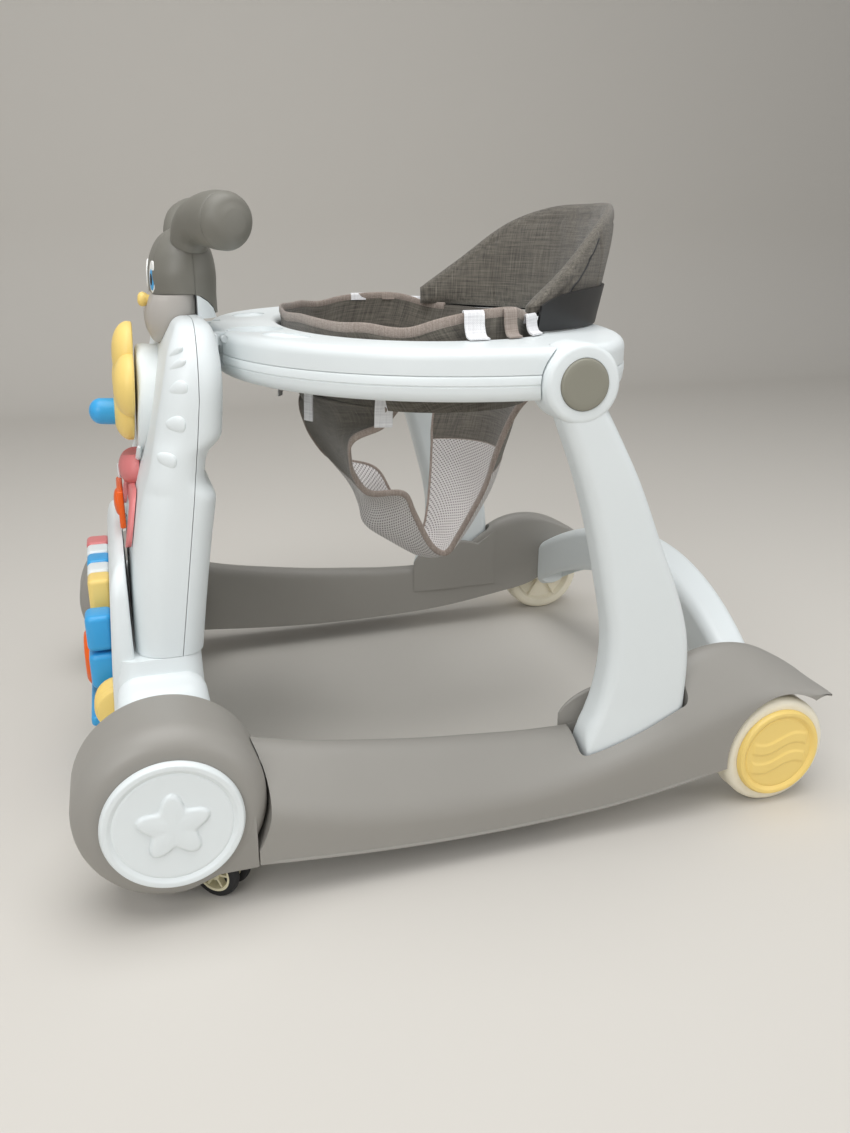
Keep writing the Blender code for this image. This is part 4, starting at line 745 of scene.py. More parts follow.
def muzzle_rows(grow=0.0):
    """The head's outline at the top, tapering down and forwards to a rounded chin."""
    z = np.array((0.4960, 0.4900, 0.4800, 0.4700, 0.4610, 0.4545, 0.4505, 0.4485)) - grow * np.linspace(0, 1, 8)
    half = np.array((0.0638, 0.0640, 0.0625, 0.0585, 0.0520, 0.0430, 0.0330, 0.0200)) + grow
    front = np.array((-0.2500, -0.2530, -0.2560, -0.2570, -0.2560, -0.2535, -0.2500, -0.2450)) - grow
    at = np.linspace(0, 7, 36)
    z, half, front = (through(np.arange(8), v, at) for v in (z, half, front))
    rear = np.full(36, -0.2120 + grow)
    radius = np.minimum(0.024, np.minimum(half, (rear - front) / 2) * 0.9)
    return np.column_stack([z, half, front, rear, radius])


SPIN_TILT = math.radians(4.0)
SPIN_AXIS = np.array((0, -math.cos(SPIN_TILT), math.sin(SPIN_TILT)))
SPIN_UP = np.array((0, math.sin(SPIN_TILT), math.cos(SPIN_TILT)))
SPIN_CENTRE = np.array((0, -0.2600, 0.4100))
SPIN_BASE = SPIN_CENTRE - (0, 0, 0.018)

# %% Column shells
levels = np.concatenate([np.linspace(0.177, 0.405, 70), np.linspace(0.405, 0.470, 26)[1:],
                         0.471 + 0.007 * np.sin(np.linspace(0, np.pi / 2, 10))])
for name, shell_front in (("column_front_shell", True), ("column_rear_shell", False)):
    shell = surface(name.replace("shell", "skin"), column_grid(levels))
    inner = np.concatenate([np.linspace(0.167, 0.405, 30), np.linspace(0.41, 0.466, 10)])
    cutters = [surface("inside", column_grid(inner, 0.003)),
               seam_slab("seam", -0.0003 if shell_front else 0.0003, 0.2 if shell_front else -0.2)]
    if shell_front:
        cutters.append(cylinder("base seat", SPIN_BASE, SPIN_AXIS, 0.0554, -0.025, 0.025, 96))
    cutters.append(surface("muzzle seat", stacked(muzzle_rows(0.0006))))
    carve(shell, *cutters)
    finish(shell, "column", WHITE, [name], angle=36)

# %% [markdown]
# Reliefs on the column: five rounded teardrops fan out from the spinner's base round each front corner.
# Each is a thin lens laid on the shell.

# %% Reliefs
def lens(name, centre, normal, along, length, width, height, taper=0.35, rows=26, columns=20):
    """A half-lens: height * sqrt(1 - u^2 - v^2) over an egg outline whose width shrinks by taper along it."""
    normal, along = np.asarray(normal, float), np.asarray(along, float)
    normal /= np.linalg.norm(normal)
    along = along - normal * np.dot(along, normal)
    along /= np.linalg.norm(along)
    side = np.cross(normal, along)
    r = np.sin(np.linspace(0.0, np.pi / 2, rows))[1:]
    a = np.linspace(0, TURN, columns * 2, endpoint=False)
    R, A = np.meshgrid(r, a, indexing="ij")
    u, v = R * np.cos(A), R * np.sin(A) * (1 - taper * R * np.cos(A))
    up = np.sqrt(np.maximum(1 - R**2, 0))
    grid = (np.asarray(centre) + u[..., None] * along * length / 2 + v[..., None] * side * width / 2
            + up[..., None] * normal * height)
    return surface(name, np.concatenate([grid, grid[-1:] - normal * 0.0012]))


def column_corner(side, turn, z):
    """A point on a front corner and its outward normal; turn 0 faces sideways and 90 degrees faces -Y."""
    front, half = column_front_y(z), column_half(z)
    big = min(0.030, (column_rear_y(z) - front) * 0.55)
    normal = np.array((side * math.cos(turn), -math.sin(turn), 0.0))
    return np.array((side * (half - big), front + big, z)) + big * normal, normal


TEARDROPS = ((0.4520, 50, 0.020, 0.0060), (0.4420, 42, 0.021, 0.0075), (0.4230, 34, 0.019, 0.0130),
             (0.3930, 30, 0.019, 0.0150), (0.3620, 34, 0.020, 0.0150))
for label, side in SIDES:
    for k, (z, turn, length, width) in enumerate(TEARDROPS):
        spot, normal = column_corner(side, math.radians(turn), z)
        away = (spot - SPIN_BASE) * (1, 1, 1.3)
        drop = lens(f"teardrop_{label}_{k + 1}", spot - normal * 0.0008, normal, away, length, width, 0.0030,
                    taper=-0.32)
        finish(drop, "column", WHITE, angle=80)

# %% [markdown]
# ## The head and its grips
#
# A dark grey dome with the face of an animal sits on the column. It is two shells whose seam runs from
# side to side, and a lighter muzzle fills the lower front half with a dark gap above it. The two grips
# grow out of its sides like ears, bend outwards and end in round knobs, so a hand can push the walker.

# %% Head shells and muzzle
def dome_rows(foot, count=40, grow=0.0):
    """Head outline at count heights, through six levels, closing in to a small flat at the crown."""
    level = np.array(((0.4965, 0.064, -0.2500, -0.1910), (0.5160, 0.066, -0.2498, -0.1905),
                      (0.5335, 0.061, -0.2450, -0.1930), (0.5465, 0.047, -0.2370, -0.1985),
                      (0.5540, 0.026, -0.2265, -0.2065), (0.5560, 0.010, -0.2185, -0.2125)))
    at = np.linspace(0, 5, count)
    z, half, front, rear = (through(np.arange(6), level[:, k], at) for k in range(4))
    radius = np.minimum(0.0285, (rear - front) * 0.495)
    rows = np.column_stack([z, half + grow, front - grow, rear + grow, radius])
    return np.vstack([[foot, *rows[0, 1:]], rows])


def side_prism(name, outline, half):
    """An outline of (y, z) points carried across the middle from -half to half."""
    yz = np.asarray(outline, float)
    return surface(name, np.array([np.column_stack([np.full(len(yz), x), yz]) for x in (-half, half)]))


nape = [(-0.2160, 0.4966), (-0.2075, 0.4945), (-0.2010, 0.4900), (-0.1960, 0.4840), (-0.1930, 0.4760),
        (-0.2160, 0.4760)]
for name, foot, seam in (("head_front_shell", 0.4972, (-0.2126, -0.15)),
                         ("head_rear_shell", 0.4786, (-0.30, -0.2132))):
    shell = surface(name.replace("shell", "skin"), stacked(dome_rows(foot)))
    carve(shell, block("half", (-0.1, seam[0], 0.40), (0.1, seam[1], 0.60)))
    if name == "head_rear_shell":
        carve(shell, side_prism("nape", nape, 0.1))
    finish(shell, "column", DARK, [name], angle=32)
collar = surface("head_collar", stacked(dome_rows(0.4740)))
inner = [(-0.2116, 0.4955), (-0.2079, 0.4939), (-0.2014, 0.4894), (-0.1964, 0.4834), (-0.1936, 0.4754),
         (-0.1936, 0.4745), (-0.2116, 0.4745)]
carve(collar, side_prism("below the nape", inner, 0.0625), how="INTERSECT")
finish(collar, "column", WHITE, angle=40)
muzzle = surface("muzzle_skin", stacked(muzzle_rows()))
finish(muzzle, "column", MUZZLE, ["muzzle"], angle=50)
nose = turned("nose", [(0, 0.0095), (0.0034, 0.0092), (0.0060, 0.0078), (0.0070, 0.0050), (0.0062, 0.0018),
                       (0.0048, 0), (0.0048, -0.004), (0, -0.004)], (0, -0.2535, 0.4890), (0, -1, 0.1), 48)
finish(nose, "column", YELLOW, angle=70)

# %% Eyes
for label, side in SIDES:
    for part, size, lift, look in (("white", (0.029, 0.0190), 0.0, EYE_WHITE),
                                   ("iris", (0.0200, 0.0140), 0.0005, BLUE),
                                   ("pupil", (0.0120, 0.0085), 0.0009, EYE_DARK)):
        facing = np.array((side * 0.22, -1.0, 0.03))
        spot = np.array((side * 0.0400, -0.2490, 0.5115 - 0.0022 * (lift > 0))) + facing * lift
        eye = lens(f"eye_{part}_{label}", spot, facing, (side * 0.12, 0, 1), *size, 0.0010, taper=0.12)
        finish(eye, "column", look, angle=80)

# %% Grips
GRIP = ((0.040, -0.2140, 0.525), (0.046, -0.2138, 0.540), (0.054, -0.2120, 0.552), (0.066, -0.2075, 0.5590),
        (0.080, -0.2010, 0.5610), (0.096, -0.1940, 0.5610), (0.108, -0.1885, 0.5600), (0.117, -0.1845, 0.5595),
        (0.123, -0.1820, 0.5590), (0.1265, -0.1805, 0.5590))
GRIP_RADIUS = (0.0165, 0.0170, 0.0180, 0.0198, 0.0222, 0.0244, 0.0246, 0.0218, 0.0165, 0.0100)
for label, side in SIDES:
    path = path_through(sided(side, *GRIP), 220)
    run = np.concatenate([[0], np.cumsum(np.linalg.norm(np.diff(path, axis=0), axis=1))])
    knots = np.linalg.norm(np.diff(np.array(GRIP), axis=0), axis=1)
    radius = through(np.concatenate([[0], np.cumsum(knots)]) * run[-1] / knots.sum(), GRIP_RADIUS, run)
    end = np.clip((run[-1] + 0.0015 - run) / 0.019, 0, 1)
    radius = radius.max() * np.sqrt(1 - (1 - end) ** 2) * (radius / radius.max()) ** (end > 0.999)
    seam = 0.0013 * np.exp(-((run - run[-1] * 0.845) / 0.0010) ** 2)
    grip = tube("grip_skin_" + label, path, np.maximum(radius - seam, 0.0004), 60)
    carve(grip, surface("root", stacked(dome_rows(0.48, grow=0.0004))))
    finish(grip, "column", DARK, ["grip_" + label], angle=40)

# %% [markdown]
# ## The spinner, the picture flap and the pink trim
#
# High on the column's front a round white base carries a yellow four-lobed rotor with a blue knob that
# turns it. Under it a pink dome and arch frame an orange flap, which swings on an upright white pin.

# %% Spinner
drum = [(0, 0.0132), (0.0480, 0.0132), (0.0495, 0.0122), (0.0510, 0.0132), (0.0530, 0.0125), (0.0545, 0.0105),
        (0.0550, 0.0070), (0.0550, -0.0140), (0, -0.0140)]
finish(turned("spinner_base_skin", drum, SPIN_BASE, SPIN_AXIS, 128), "column", WHITE, ["spinner_base"],
       angle=45)
turn = np.radians(np.linspace(222, 318, 70))[:, None]
line = SPIN_BASE + SPIN_AXIS * 0.0130 + 0.0585 * (np.cos(turn) * np.array((1, 0, 0)) + np.sin(turn) * SPIN_UP)
lip = tube("spinner_base_lip", line, 0.0034 * np.sin(np.linspace(0.12, np.pi - 0.12, 70)) ** 0.35, 20)
finish(lip, "column", WHITE, angle=80)
rotor_place = SPIN_CENTRE + SPIN_AXIS * 0.0225
turn = np.linspace(0, TURN, 200, endpoint=False)
away = (turn + np.pi / 4) % (np.pi / 2) - np.pi / 4  # angle from the middle of the nearest lobe
edge = 0.028 * np.cos(away) + np.sqrt(np.maximum(0.030**2 - (0.028 * np.sin(away)) ** 2, 0))
share = np.concatenate([np.linspace(0.02, 0.9, 34), 0.9 + 0.1 * np.sin(np.linspace(0, np.pi / 2, 16)[1:])])
r = share[:, None] * edge[None, :]
to_lobe = np.hypot(r * np.cos(away) - 0.028, r * np.sin(away)) / 0.0303
lobe = 0.0165 * np.sqrt(np.maximum(1 - np.minimum(to_lobe, 1) ** 2.4, 0))
waist = 0.0120 * np.sqrt(np.maximum(1 - (r / 0.030) ** 2, 0))
front = -0.0050 + (lobe**6 + waist**6) ** (1 / 6)
rim = np.array(((1.0, -0.0065), (0.985, -0.0076), (0.96, -0.0080), (0.5, -0.0080), (0.02, -0.0080)))
radii = np.concatenate([r, rim[:, :1] * edge[None, :]])
heights = np.concatenate([front, np.broadcast_to(rim[:, 1:], (5, len(turn)))])
outwards = np.cos(turn)[:, None] * np.array((1, 0, 0)) + np.sin(turn)[:, None] * SPIN_UP
grid = rotor_place + radii[..., None] * outwards + heights[..., None] * SPIN_AXIS
finish(surface("spinner_rotor_skin", grid), "spinner", YELLOW, ["spinner_rotor"], angle=60)
a = np.linspace(0, np.pi / 2, 14)
crown = np.column_stack([0.0128 * np.sin(a), 0.0145 + 0.0115 * np.cos(a)])
knob = turned("spinner_knob_skin", np.concatenate([crown, [(0.0130, 0.0), (0.0, 0.0)]]),
              rotor_place + SPIN_AXIS * 0.0085 - SPIN_UP * 0.030, SPIN_AXIS, 64)
finish(knob, "spinner", BLUE, ["spinner_knob"], angle=50)

# %% Pink arch and dome
right = [(0.042, 0.3070), (0.060, 0.3080), (0.074, 0.300), (0.082, 0.286), (0.085, 0.2665)]
points = np.array([(-x, 0, z) for x, z in right[::-1]] + [(x, 0, z) for x, z in right])
path = path_through(points, 110)[:, (0, 2)]
along = np.gradient(path, axis=0)
along /= np.linalg.norm(along, axis=1)[:, None]
across = np.stack([-along[:, 1], along[:, 0]], -1)
s = np.linspace(0, 1, 110)
half = 0.0078  # rounded off over the last twentieth at each end
for reach in (s, 1 - s):
    half = half * np.sqrt(np.clip(1 - np.maximum(1 - reach / 0.05, 0) ** 2, 0.05, 1))
u, depth = np.array(((-1, 0.0010), (-1, 0.0036), (-0.85, 0.0052), (-0.5, 0.0061), (0, 0.0064), (0.5, 0.0061),
                     (0.85, 0.0052), (1, 0.0036), (1, 0.0010))).T
xz = path[:, None] + across[:, None] * (half[:, None] * u[None])[..., None]
arch = surface("pink_arch_skin", np.stack([xz[..., 0], column_front_y(xz[..., 1]) - depth, xz[..., 1]], -1))
FLAP_PIN = np.array((-0.033, -0.2965, 0.2935))
carve(arch, cylinder("sweep", FLAP_PIN + (0, 0, 0.0015), (0, 0, 1), 0.0085, -0.025, 0.025))
finish(arch, "column", PINK, ["pink_arch"], angle=50)
dome = lens("pink_dome_skin", (0, column_front_y(0.326) - 0.0006, 0.3260), (0, -1, 0.14), (1, 0, 0), 0.064,
            0.040, 0.0175, taper=0.0, rows=34, columns=36)
carve(dome, cylinder("base clear", SPIN_BASE, SPIN_AXIS, 0.0554, -0.03, 0.03))
finish(dome, "column", PINK, ["pink_dome"], angle=40)

# %% Flap on its pin
flap = block("picture_flap_skin", (-0.0380, -0.3008, 0.2690), (0.0305, -0.2950, 0.3075), 0.002)
soften(flap, 0.0020)
a = np.linspace(0, np.pi, 16)
swell = np.column_stack([0.0140 * np.sin(a), 0.0042 * np.cos(a)])
bump = turned("bump", swell, (0.002, -0.3006, 0.2905), (0, -1, 0), 48)
carve(flap, bump, how="UNION")
carve(flap, cylinder("bore", FLAP_PIN - (0, 0, 0.0035), (0, 0, 1), 0.0022, -0.04, 0.04, 24),
      block("back", (-0.1, -0.2935, 0.20), (0.1, -0.20, 0.40)))
finish(flap, "flap", ORANGE, ["picture_flap"], angle=40)
pin = [(0, 0.0290), (0.0018, 0.0285), (0.0018, -0.0260), (0.0026, -0.0266), (0.0034, -0.0285), (0.0026, -0.0304),
       (0, -0.0314)]
pin = turned("flap_pin_skin", pin, FLAP_PIN, (0, 0, 1), 28)
carve(pin, block("stalk", (-0.0346, -0.2975, 0.3170), (-0.0314, -0.2870, 0.3205), 0.001), how="UNION")
finish(pin, "column", WHITE, ["flap_pin"])

# %% [markdown]
# ## Keys, buttons, dial and roller
#
# The panel low on the front has five soft piano keys in four colours, two blue buttons, a white push
# button, an orange dial with a scalloped edge, a ribbed yellow roller and a blue shelf.

# %% Lower toys
def pillow(name, low, high, edge):
    """A block whose every edge is rounded by edge."""
    return soften(block(name, low, high, edge), edge * 0.8, 5, 60)


KEYS = ((PINK, "pink_plastic"), (WHITE, "white_plastic"), (BLUE, "blue_plastic"), (WHITE, "white_plastic"),
        (YELLOW, "yellow_plastic"))
for i, (look, slot_name) in enumerate(KEYS):
    x, front = -0.101 + 0.0328 * i, -0.3400 + 0.0005 * i
    key = pillow(f"piano_key_skin_{i + 1}", (x - 0.0150, front, 0.1785), (x + 0.0150, -0.3150, 0.2225), 0.0058)
    finish(key, f"piano_key_{i + 1}", look, [f"piano_key_{i + 1}"])
for label, z in (("upper", 0.1805), ("lower", 0.1405)):
    low, high = (0.0540, -0.3430, z - 0.0185), (0.0860, -0.3165, z + 0.0185)
    button = pillow("blue_button_skin_" + label, low, high, 0.0070)
    finish(button, "blue_button_" + label, BLUE, ["blue_button_" + label])
a = np.linspace(0, np.pi / 2, 10)
crown = np.column_stack([0.021 * np.sin(a), 0.0030 + 0.0135 * np.cos(a)])
push = turned("white_button_skin", np.concatenate([crown, [(0.021, -0.008), (0, -0.008)]]),
              (PUSH[0], -0.3265, PUSH[2]), (0, -1, 0), 72)
finish(push, "white_button", WHITE, ["white_button"])
turn = np.linspace(0, TURN, 192, endpoint=False)
r, depth = np.array(((0.0004, 0.0135), (0.012, 0.0135), (0.0135, 0.0125), (0.015, 0.0125), (0.0165, 0.0135),
                     (0.0235, 0.0135), (0.0265, 0.0126), (0.0290, 0.0105), (0.0306, 0.0075), (0.0310, 0.0040),
                     (0.0310, 0.0), (0.0080, 0.0), (0.0080, -0.0180), (0.0004, -0.0180))).T
scallop = 1 - 0.035 * (0.5 + 0.5 * np.cos(12 * turn))[None, :] * np.clip((r - 0.022) / 0.008, 0, 1)[:, None]
grid = np.stack([DIAL[0] + r[:, None] * scallop * np.cos(turn),
                 np.broadcast_to(-0.3360 - depth[:, None], scallop.shape),
                 DIAL[2] + r[:, None] * scallop * np.sin(turn)], -1)
finish(surface("orange_dial_skin", grid), "orange_dial", ORANGE, ["orange_dial"], angle=50)
u = np.linspace(-1, 1, 41)
r = 0.0172 + 0.0055 * np.sqrt(np.clip(1 - u**4, 0, 1)) + 0.0006 * np.cos(u * 26)
profile = np.concatenate([[(0, -0.0255), (0.0030, -0.0255), (0.0030, -0.0180)], np.column_stack([r, 0.0180 * u]),
                          [(0.0030, 0.0180), (0.0030, 0.0255), (0, 0.0255)]])
roller = turned("yellow_roller_skin", profile, ROLLER, (1, 0, 0), 72)
finish(roller, "yellow_roller", YELLOW, ["yellow_roller"], angle=50)
shelf = pillow("blue_shelf_skin", (-0.030, -0.3480, 0.0790), (0.0800, -0.3262, 0.0900), 0.0042)
finish(shelf, "base", BLUE, ["blue_shelf"])

# %% [markdown]
# ## The tray ring and the legs
#
# The ring is two mouldings, one above the other, between an outer and an inner superellipse
# |x/a|^2.2 + |y/b|^2.2 = 1. Two fine grooves run round its outer wall: the joint and a styling line
# below it. At each side a leg's round hub sits in a seat cut into the ring.

# %% Ring
POWER = 2.2
HOLE_HALF_X, HOLE_HALF_Y, HOLE_Y = 0.208, 0.127, 0.005
LEG_PIVOT_Y, LEG_PIVOT_Z = 0.070, 0.434


def ring_outline(turn, half_x, front, rear, centre_y):
    """A superellipse whose front and rear depths differ; turn 0 is +X and a quarter turn the rear."""
    c, s = np.cos(turn), np.sin(turn)
    return (half_x * np.sign(c) * abs(c) ** (2 / POWER),
            centre_y + np.where(s > 0, rear, front) * np.sign(s) * abs(s) ** (2 / POWER))


def ring_grid(section, steps=288):
    """The ring from rows of (side, inset, z), measured in from the outside (1) or out from the hole (0)."""
    turn = np.linspace(0, TURN, steps, endpoint=False)
    ox, oy = ring_outline(turn, 0.288, 0.246, 0.140, 0.050)
    ix, iy = ring_outline(turn, HOLE_HALF_X, HOLE_HALF_Y, HOLE_HALF_Y, HOLE_Y)
    span = np.hypot(ox - ix, oy - iy)
    rows = []
    for outer, inset, z in section:
        f = np.where(outer, 1 - inset / span, inset / span)
        rows.append(np.stack([ix + (ox - ix) * f, iy + (oy - iy) * f, np.full(steps, z)], -1))
    return np.array(rows)


a = np.linspace(0, np.pi / 2, 8)
def shoulder(side, inset, z, rise):
    """A quarter ellipse from a wall of the ring in to its top (rise > 0) or its underside."""
    return [(side, inset * (1 - math.cos(t)), z + rise * math.sin(t)) for t in a]


upper = ([(1, 0.0006, 0.4418), (1, 0, 0.4424)] + shoulder(1, 0.009, 0.4538, 0.0092)
         + shoulder(0, 0.009, 0.4538, 0.0092)[::-1] + [(0, 0, 0.4418)])
lower = ([(1, 0.0006, 0.4415), (1, 0, 0.4409), (1, -0.0006, 0.4400), (1, -0.0007, 0.4345), (1, 0.0002, 0.4337),
          (1, 0.0002, 0.4331), (1, -0.0003, 0.4325)] + shoulder(1, 0.010, 0.4302, -0.0102)
         + shoulder(0, 0.008, 0.4282, -0.0082)[::-1] + [(0, 0, 0.4415)])
CUP = [(0, -0.007), (0.0220, -0.007), (0.0238, -0.0062), (0.0246, -0.0045), (0.0268, 0.0046), (0.0285, 0.0056),
       (0, 0.0056)]
for name, section in (("tray_top", upper), ("tray_underside", lower)):
    half_ring = surface(name + "_skin", ring_grid(section), wrap=(True, True))
    cutters = [block("front", (-0.3, -0.3, 0.4), (0.3, -0.1960, 0.48))]
    for label, side in SIDES:
        hub, pin = ((side * x, LEG_PIVOT_Y, LEG_PIVOT_Z) for x in (0.2930, 0.250))
        cutters.append(cylinder("hub", hub, (1, 0, 0), 0.0345, -0.030, 0.030, 96))
        cutters.append(cylinder("pin", pin, (1, 0, 0), 0.0064, -0.03, 0.03, 32))
        ear = side * 0.060
        cutters.append(block("ear", (ear - 0.0055, -0.215, 0.4300), (ear + 0.0055, -0.1790, 0.470)))
    if name == "tray_top":
        cutters.append(turned("cup", CUP, (0.052, -0.158, 0.4585), (0, 0, 1), 72))
        cutters.append(cylinder("hinge", (0, -0.1905, 0.4565), (1, 0, 0), 0.0034, -0.08, 0.08, 24))
        for _, side in SIDES:
            cutters.append(lens("dish", (side * 0.122, -0.1405, 0.4626), (0, 0, -1), (side, 0.42, 0), 0.062,
                                0.034, 0.0050, taper=0.0))
    carve(half_ring, *cutters)
    finish(half_ring, "tray", WHITE, [name], angle=34)

# %% Legs and their pivot caps
def leg_edges(z):
    """Front and rear edges of a leg at height z."""
    front = through((0.050, 0.100, 0.115, 0.140, 0.191, 0.261, 0.343, 0.406),
                    (0.104, 0.102, 0.108, 0.115, 0.118, 0.104, 0.080, 0.054), z)
    rear = through((0.050, 0.120, 0.180, 0.219, 0.288, 0.348, 0.415),
                   (0.2065, 0.2065, 0.203, 0.192, 0.161, 0.133, 0.095), z)
    return front, rear


def leg_grid(side, z, half, trim, radius, steps):
    """Rounded rectangles up a leg that leans out as it rises; trim pulls its front and rear edges in."""
    front, rear = leg_edges(z)
    middle = np.interp(z, (0.05, 0.12, 0.40, 0.45), (0.2650, 0.2655, 0.2805, 0.2805))
    return lifted(corners(middle - half, middle + half, front + trim, rear - trim, [radius] * 4, steps)
                  * (side, 1), z)


HUB = [(0, 0.0345), (0.0285, 0.0345), (0.0305, 0.0340), (0.0322, 0.0325), (0.0330, 0.0300), (0.0330, 0.0),
       (0, 0)]
RECESS = [(0, -0.008), (0.0217, -0.008), (0.0217, 0.0040), (0.0232, 0.0052), (0, 0.0052)]
CAP = [(0, 0.0046), (0.0150, 0.0050), (0.0195, 0.0050), (0.0207, 0.0044), (0.0213, 0.0030), (0.0213, 0.0),
       (0, 0)]
for label, side in SIDES:
    z = np.concatenate([np.linspace(0.0545, 0.09, 8), np.linspace(0.095, 0.420, 74)])
    half = np.interp(z, (0, 0.35, 0.40), (0.0176, 0.0176, 0.0166))
    radius = np.interp(z, (0.085, 0.10), (0.004, 0.0115))
    leg = surface("leg_skin_" + label, leg_grid(side, z, half, 0.0, radius, 9))
    carve(leg, surface("inside", leg_grid(side, np.linspace(0.045, 0.388, 30), 0.0140, 0.004, 0.008, 5)))
    hub, pin, recess, cap = ((side * x, LEG_PIVOT_Y, LEG_PIVOT_Z) for x in (0.2635, 0.2500, 0.3030, 0.2954))
    carve(leg, turned("hub", HUB, hub, (side, 0, 0), 128),
          cylinder("pin", pin, (1, 0, 0), 0.0060, -0.025, 0.025, 32), how="UNION")
    carve(leg, turned("recess", RECESS, recess, (side, 0, 0), 96))
    finish(leg, "leg_" + label, WHITE, ["leg_" + label], angle=34)
    cap = turned("pivot_cap_skin_" + label, CAP, cap, (side, 0, 0), 96)
    finish(cap, "leg_" + label, CAP_GREY, ["pivot_cap_" + label], angle=50)

# %% [markdown]
# ## The seat
#
# The seat is sewn from three cloths. A band of melange cloth hangs inside the ring and stands a little
# above it, a sling of melange and white spacer mesh runs down from the front, between the child's legs
# and up to the back, and a padded backrest stands on the rear of the ring. Taupe tape binds the edges.
# Each cloth is a grid whose middle surface is known, given its thickness along its own normals, with
# the lengths along warp and weft kept on every point so that the weave has its true scale anywhere.

# %% Cloth from a middle surface
def arc_lengths(grid, wrap=False):
    """Mean running length along rows and along columns of a grid, and its area."""
    across = np.linalg.norm(np.diff(grid, axis=1), axis=2)
    along = np.linalg.norm(np.diff(grid, axis=0), axis=2)
    u = np.concatenate([np.zeros((grid.shape[0], 1)), np.cumsum(across, 1)], 1)
    v = np.concatenate([np.zeros((1, grid.shape[1])), np.cumsum(along, 0)], 0)
    centred = u - (0 if wrap else u.mean(1, keepdims=True))
    area = float(((across[1:] + across[:-1]) / 2 * (along[:, 1:] + along[:, :-1]) / 2).sum())
    return np.stack([centred, v, 0 * u], -1), (float(u[:, -1].max()), float(v[-1].max())), area


def cloth(name, grid, thickness=0.0016, wrap=False):
    """A closed thin solid: the grid pushed both ways along its normals, with a strip round its edge."""
    du, dv = np.gradient(grid, axis=1), np.gradient(grid, axis=0)
    if wrap:
        du = np.roll(grid, -1, 1) - np.roll(grid, 1, 1)
        du[:, 0], du[:, -1] = grid[:, 1] - grid[:, -2], grid[:, 1] - grid[:, -2]
    normal = np.cross(du, dv)
    normal /= np.maximum(np.linalg.norm(normal, axis=2, keepdims=True), 1e-12)
    thread, flat, area = arc_lengths(grid, wrap)
    rows, columns = grid.shape[:2]
    both = np.stack([grid + normal * thickness / 2, grid - normal * thickness / 2])
    i, j = np.meshgrid(np.arange(rows - 1), np.arange(columns - 1), indexing="ij")
    a = i * columns + j
    front = np.stack([a, a + 1, a + columns + 1, a + columns], -1).reshape(-1, 4)
    polygons = [front, front[:, ::-1] + rows * columns]
    edges = [np.arange(columns), np.arange(columns)[::-1] + (rows - 1) * columns]
    if not wrap:
        edges += [np.arange(rows)[::-1] * columns, np.arange(rows) * columns + columns - 1]
    for line in edges:
        polygons.append(np.stack([line[1:], line[:-1], line[:-1] + rows * columns, line[1:] + rows * columns],
                                 -1))
    polygons = np.concatenate(polygons)
    if wrap:
        last = polygons % columns == columns - 1
        polygons = np.where(last, polygons - (columns - 1), polygons)
    made = mesh_from(name, both, polygons.tolist(), np.stack([thread, thread]))
    if wrap:
        shape = bmesh.new()
        shape.from_mesh(made.data)
        bmesh.ops.delete(shape, geom=[v for v in shape.verts if not v.link_faces], context="VERTS")
        shape.to_mesh(made.data)
        shape.free()
    return made, flat, area


def with_thread(piece):
    """Give a tube a thread attribute from its own coordinates."""
    points = np.empty(len(piece.data.vertices) * 3, np.float32)
    piece.data.vertices.foreach_get("co", points)
    points = points.reshape(-1, 3)
    thread = np.column_stack([points[:, 0] + points[:, 1], points[:, 2], points[:, 1]])
    layer = piece.data.attributes.new("thread", "FLOAT_VECTOR", "POINT")
    layer.data.foreach_set("vector", thread.astype(np.float32).reshape(-1))
    return piece


def ripple(u, v, seed, count=7, low=20.0, high=75.0):
    """Folds of mixed direction: a sum of sines whose wavelengths run from 2 pi / high to 2 pi / low metres."""
    rng = np.random.default_rng(seed)
    total = 0
    for _ in range(count):
        k, way = rng.uniform(low, high), rng.uniform(0, np.pi)
        total = total + np.sin(k * (u * np.cos(way) + v * np.sin(way)) + rng.uniform(0, TURN)) * low / k
    return total / count ** 0.5


# %% [markdown]
# ### The band in the ring
#
# At each side the band rises in an arch over the child's thigh, where its tape-bound edge shows above
# the ring. At the front it bunches into soft waves.

# %% Band
turn = np.linspace(0, TURN, 361)
hole_x, hole_y = ring_outline(turn, HOLE_HALF_X, HOLE_HALF_Y, HOLE_HALF_Y, HOLE_Y)
side_ness = ease((abs(hole_x) - 0.150) / 0.035)
arch_top = through((-0.2, -0.090, -0.054, -0.018, 0.019, 0.057, 0.090, 0.2),
                   (0.4665, 0.4665, 0.4690, 0.4795, 0.4855, 0.4850, 0.4700, 0.4665), hole_y)
band_top = (0.4680 + (arch_top - 0.4680) * side_ness * np.where(hole_x > 0, 1, 0.55)
            + 0.0012 * np.sin(9 * turn + 0.6) * (hole_y < -0.02) * (1 - side_ness)
            + 0.0050 * ease((-0.04 - hole_y) / 0.04))
v = np.linspace(0, 1, 40)[:, None]
z = band_top[None, :] + (0.3985 - band_top[None, :]) * v
folds = 0.0011 * ripple(turn * 0.17, (z - 0.4) * 1.5, 4) * ease(v / 0.2)
inset = 0.0045 + 0.0075 * v ** 1.2 + folds + 0.0007 * np.sin(17 * turn) * (1 - v)
inset = np.where(z < 0.4640, np.maximum(inset, 0.0026), inset)
x = hole_x[None] * (1 - inset / HOLE_HALF_X)
y = HOLE_Y + (hole_y[None] - HOLE_Y) * (1 - inset / HOLE_HALF_Y)
band, flat, area = cloth("seat_band", np.stack([x, y, z], -1), 0.0018, wrap=True)
finish(band, "tray", MELANGE, ["seat_rim"], angle=70)
line = np.stack([x, y, z], -1)[0][np.roll(np.arange(360), -90)]
line = line[line[:, 1] < 0.100][::3] - (0, 0, 0.0022)
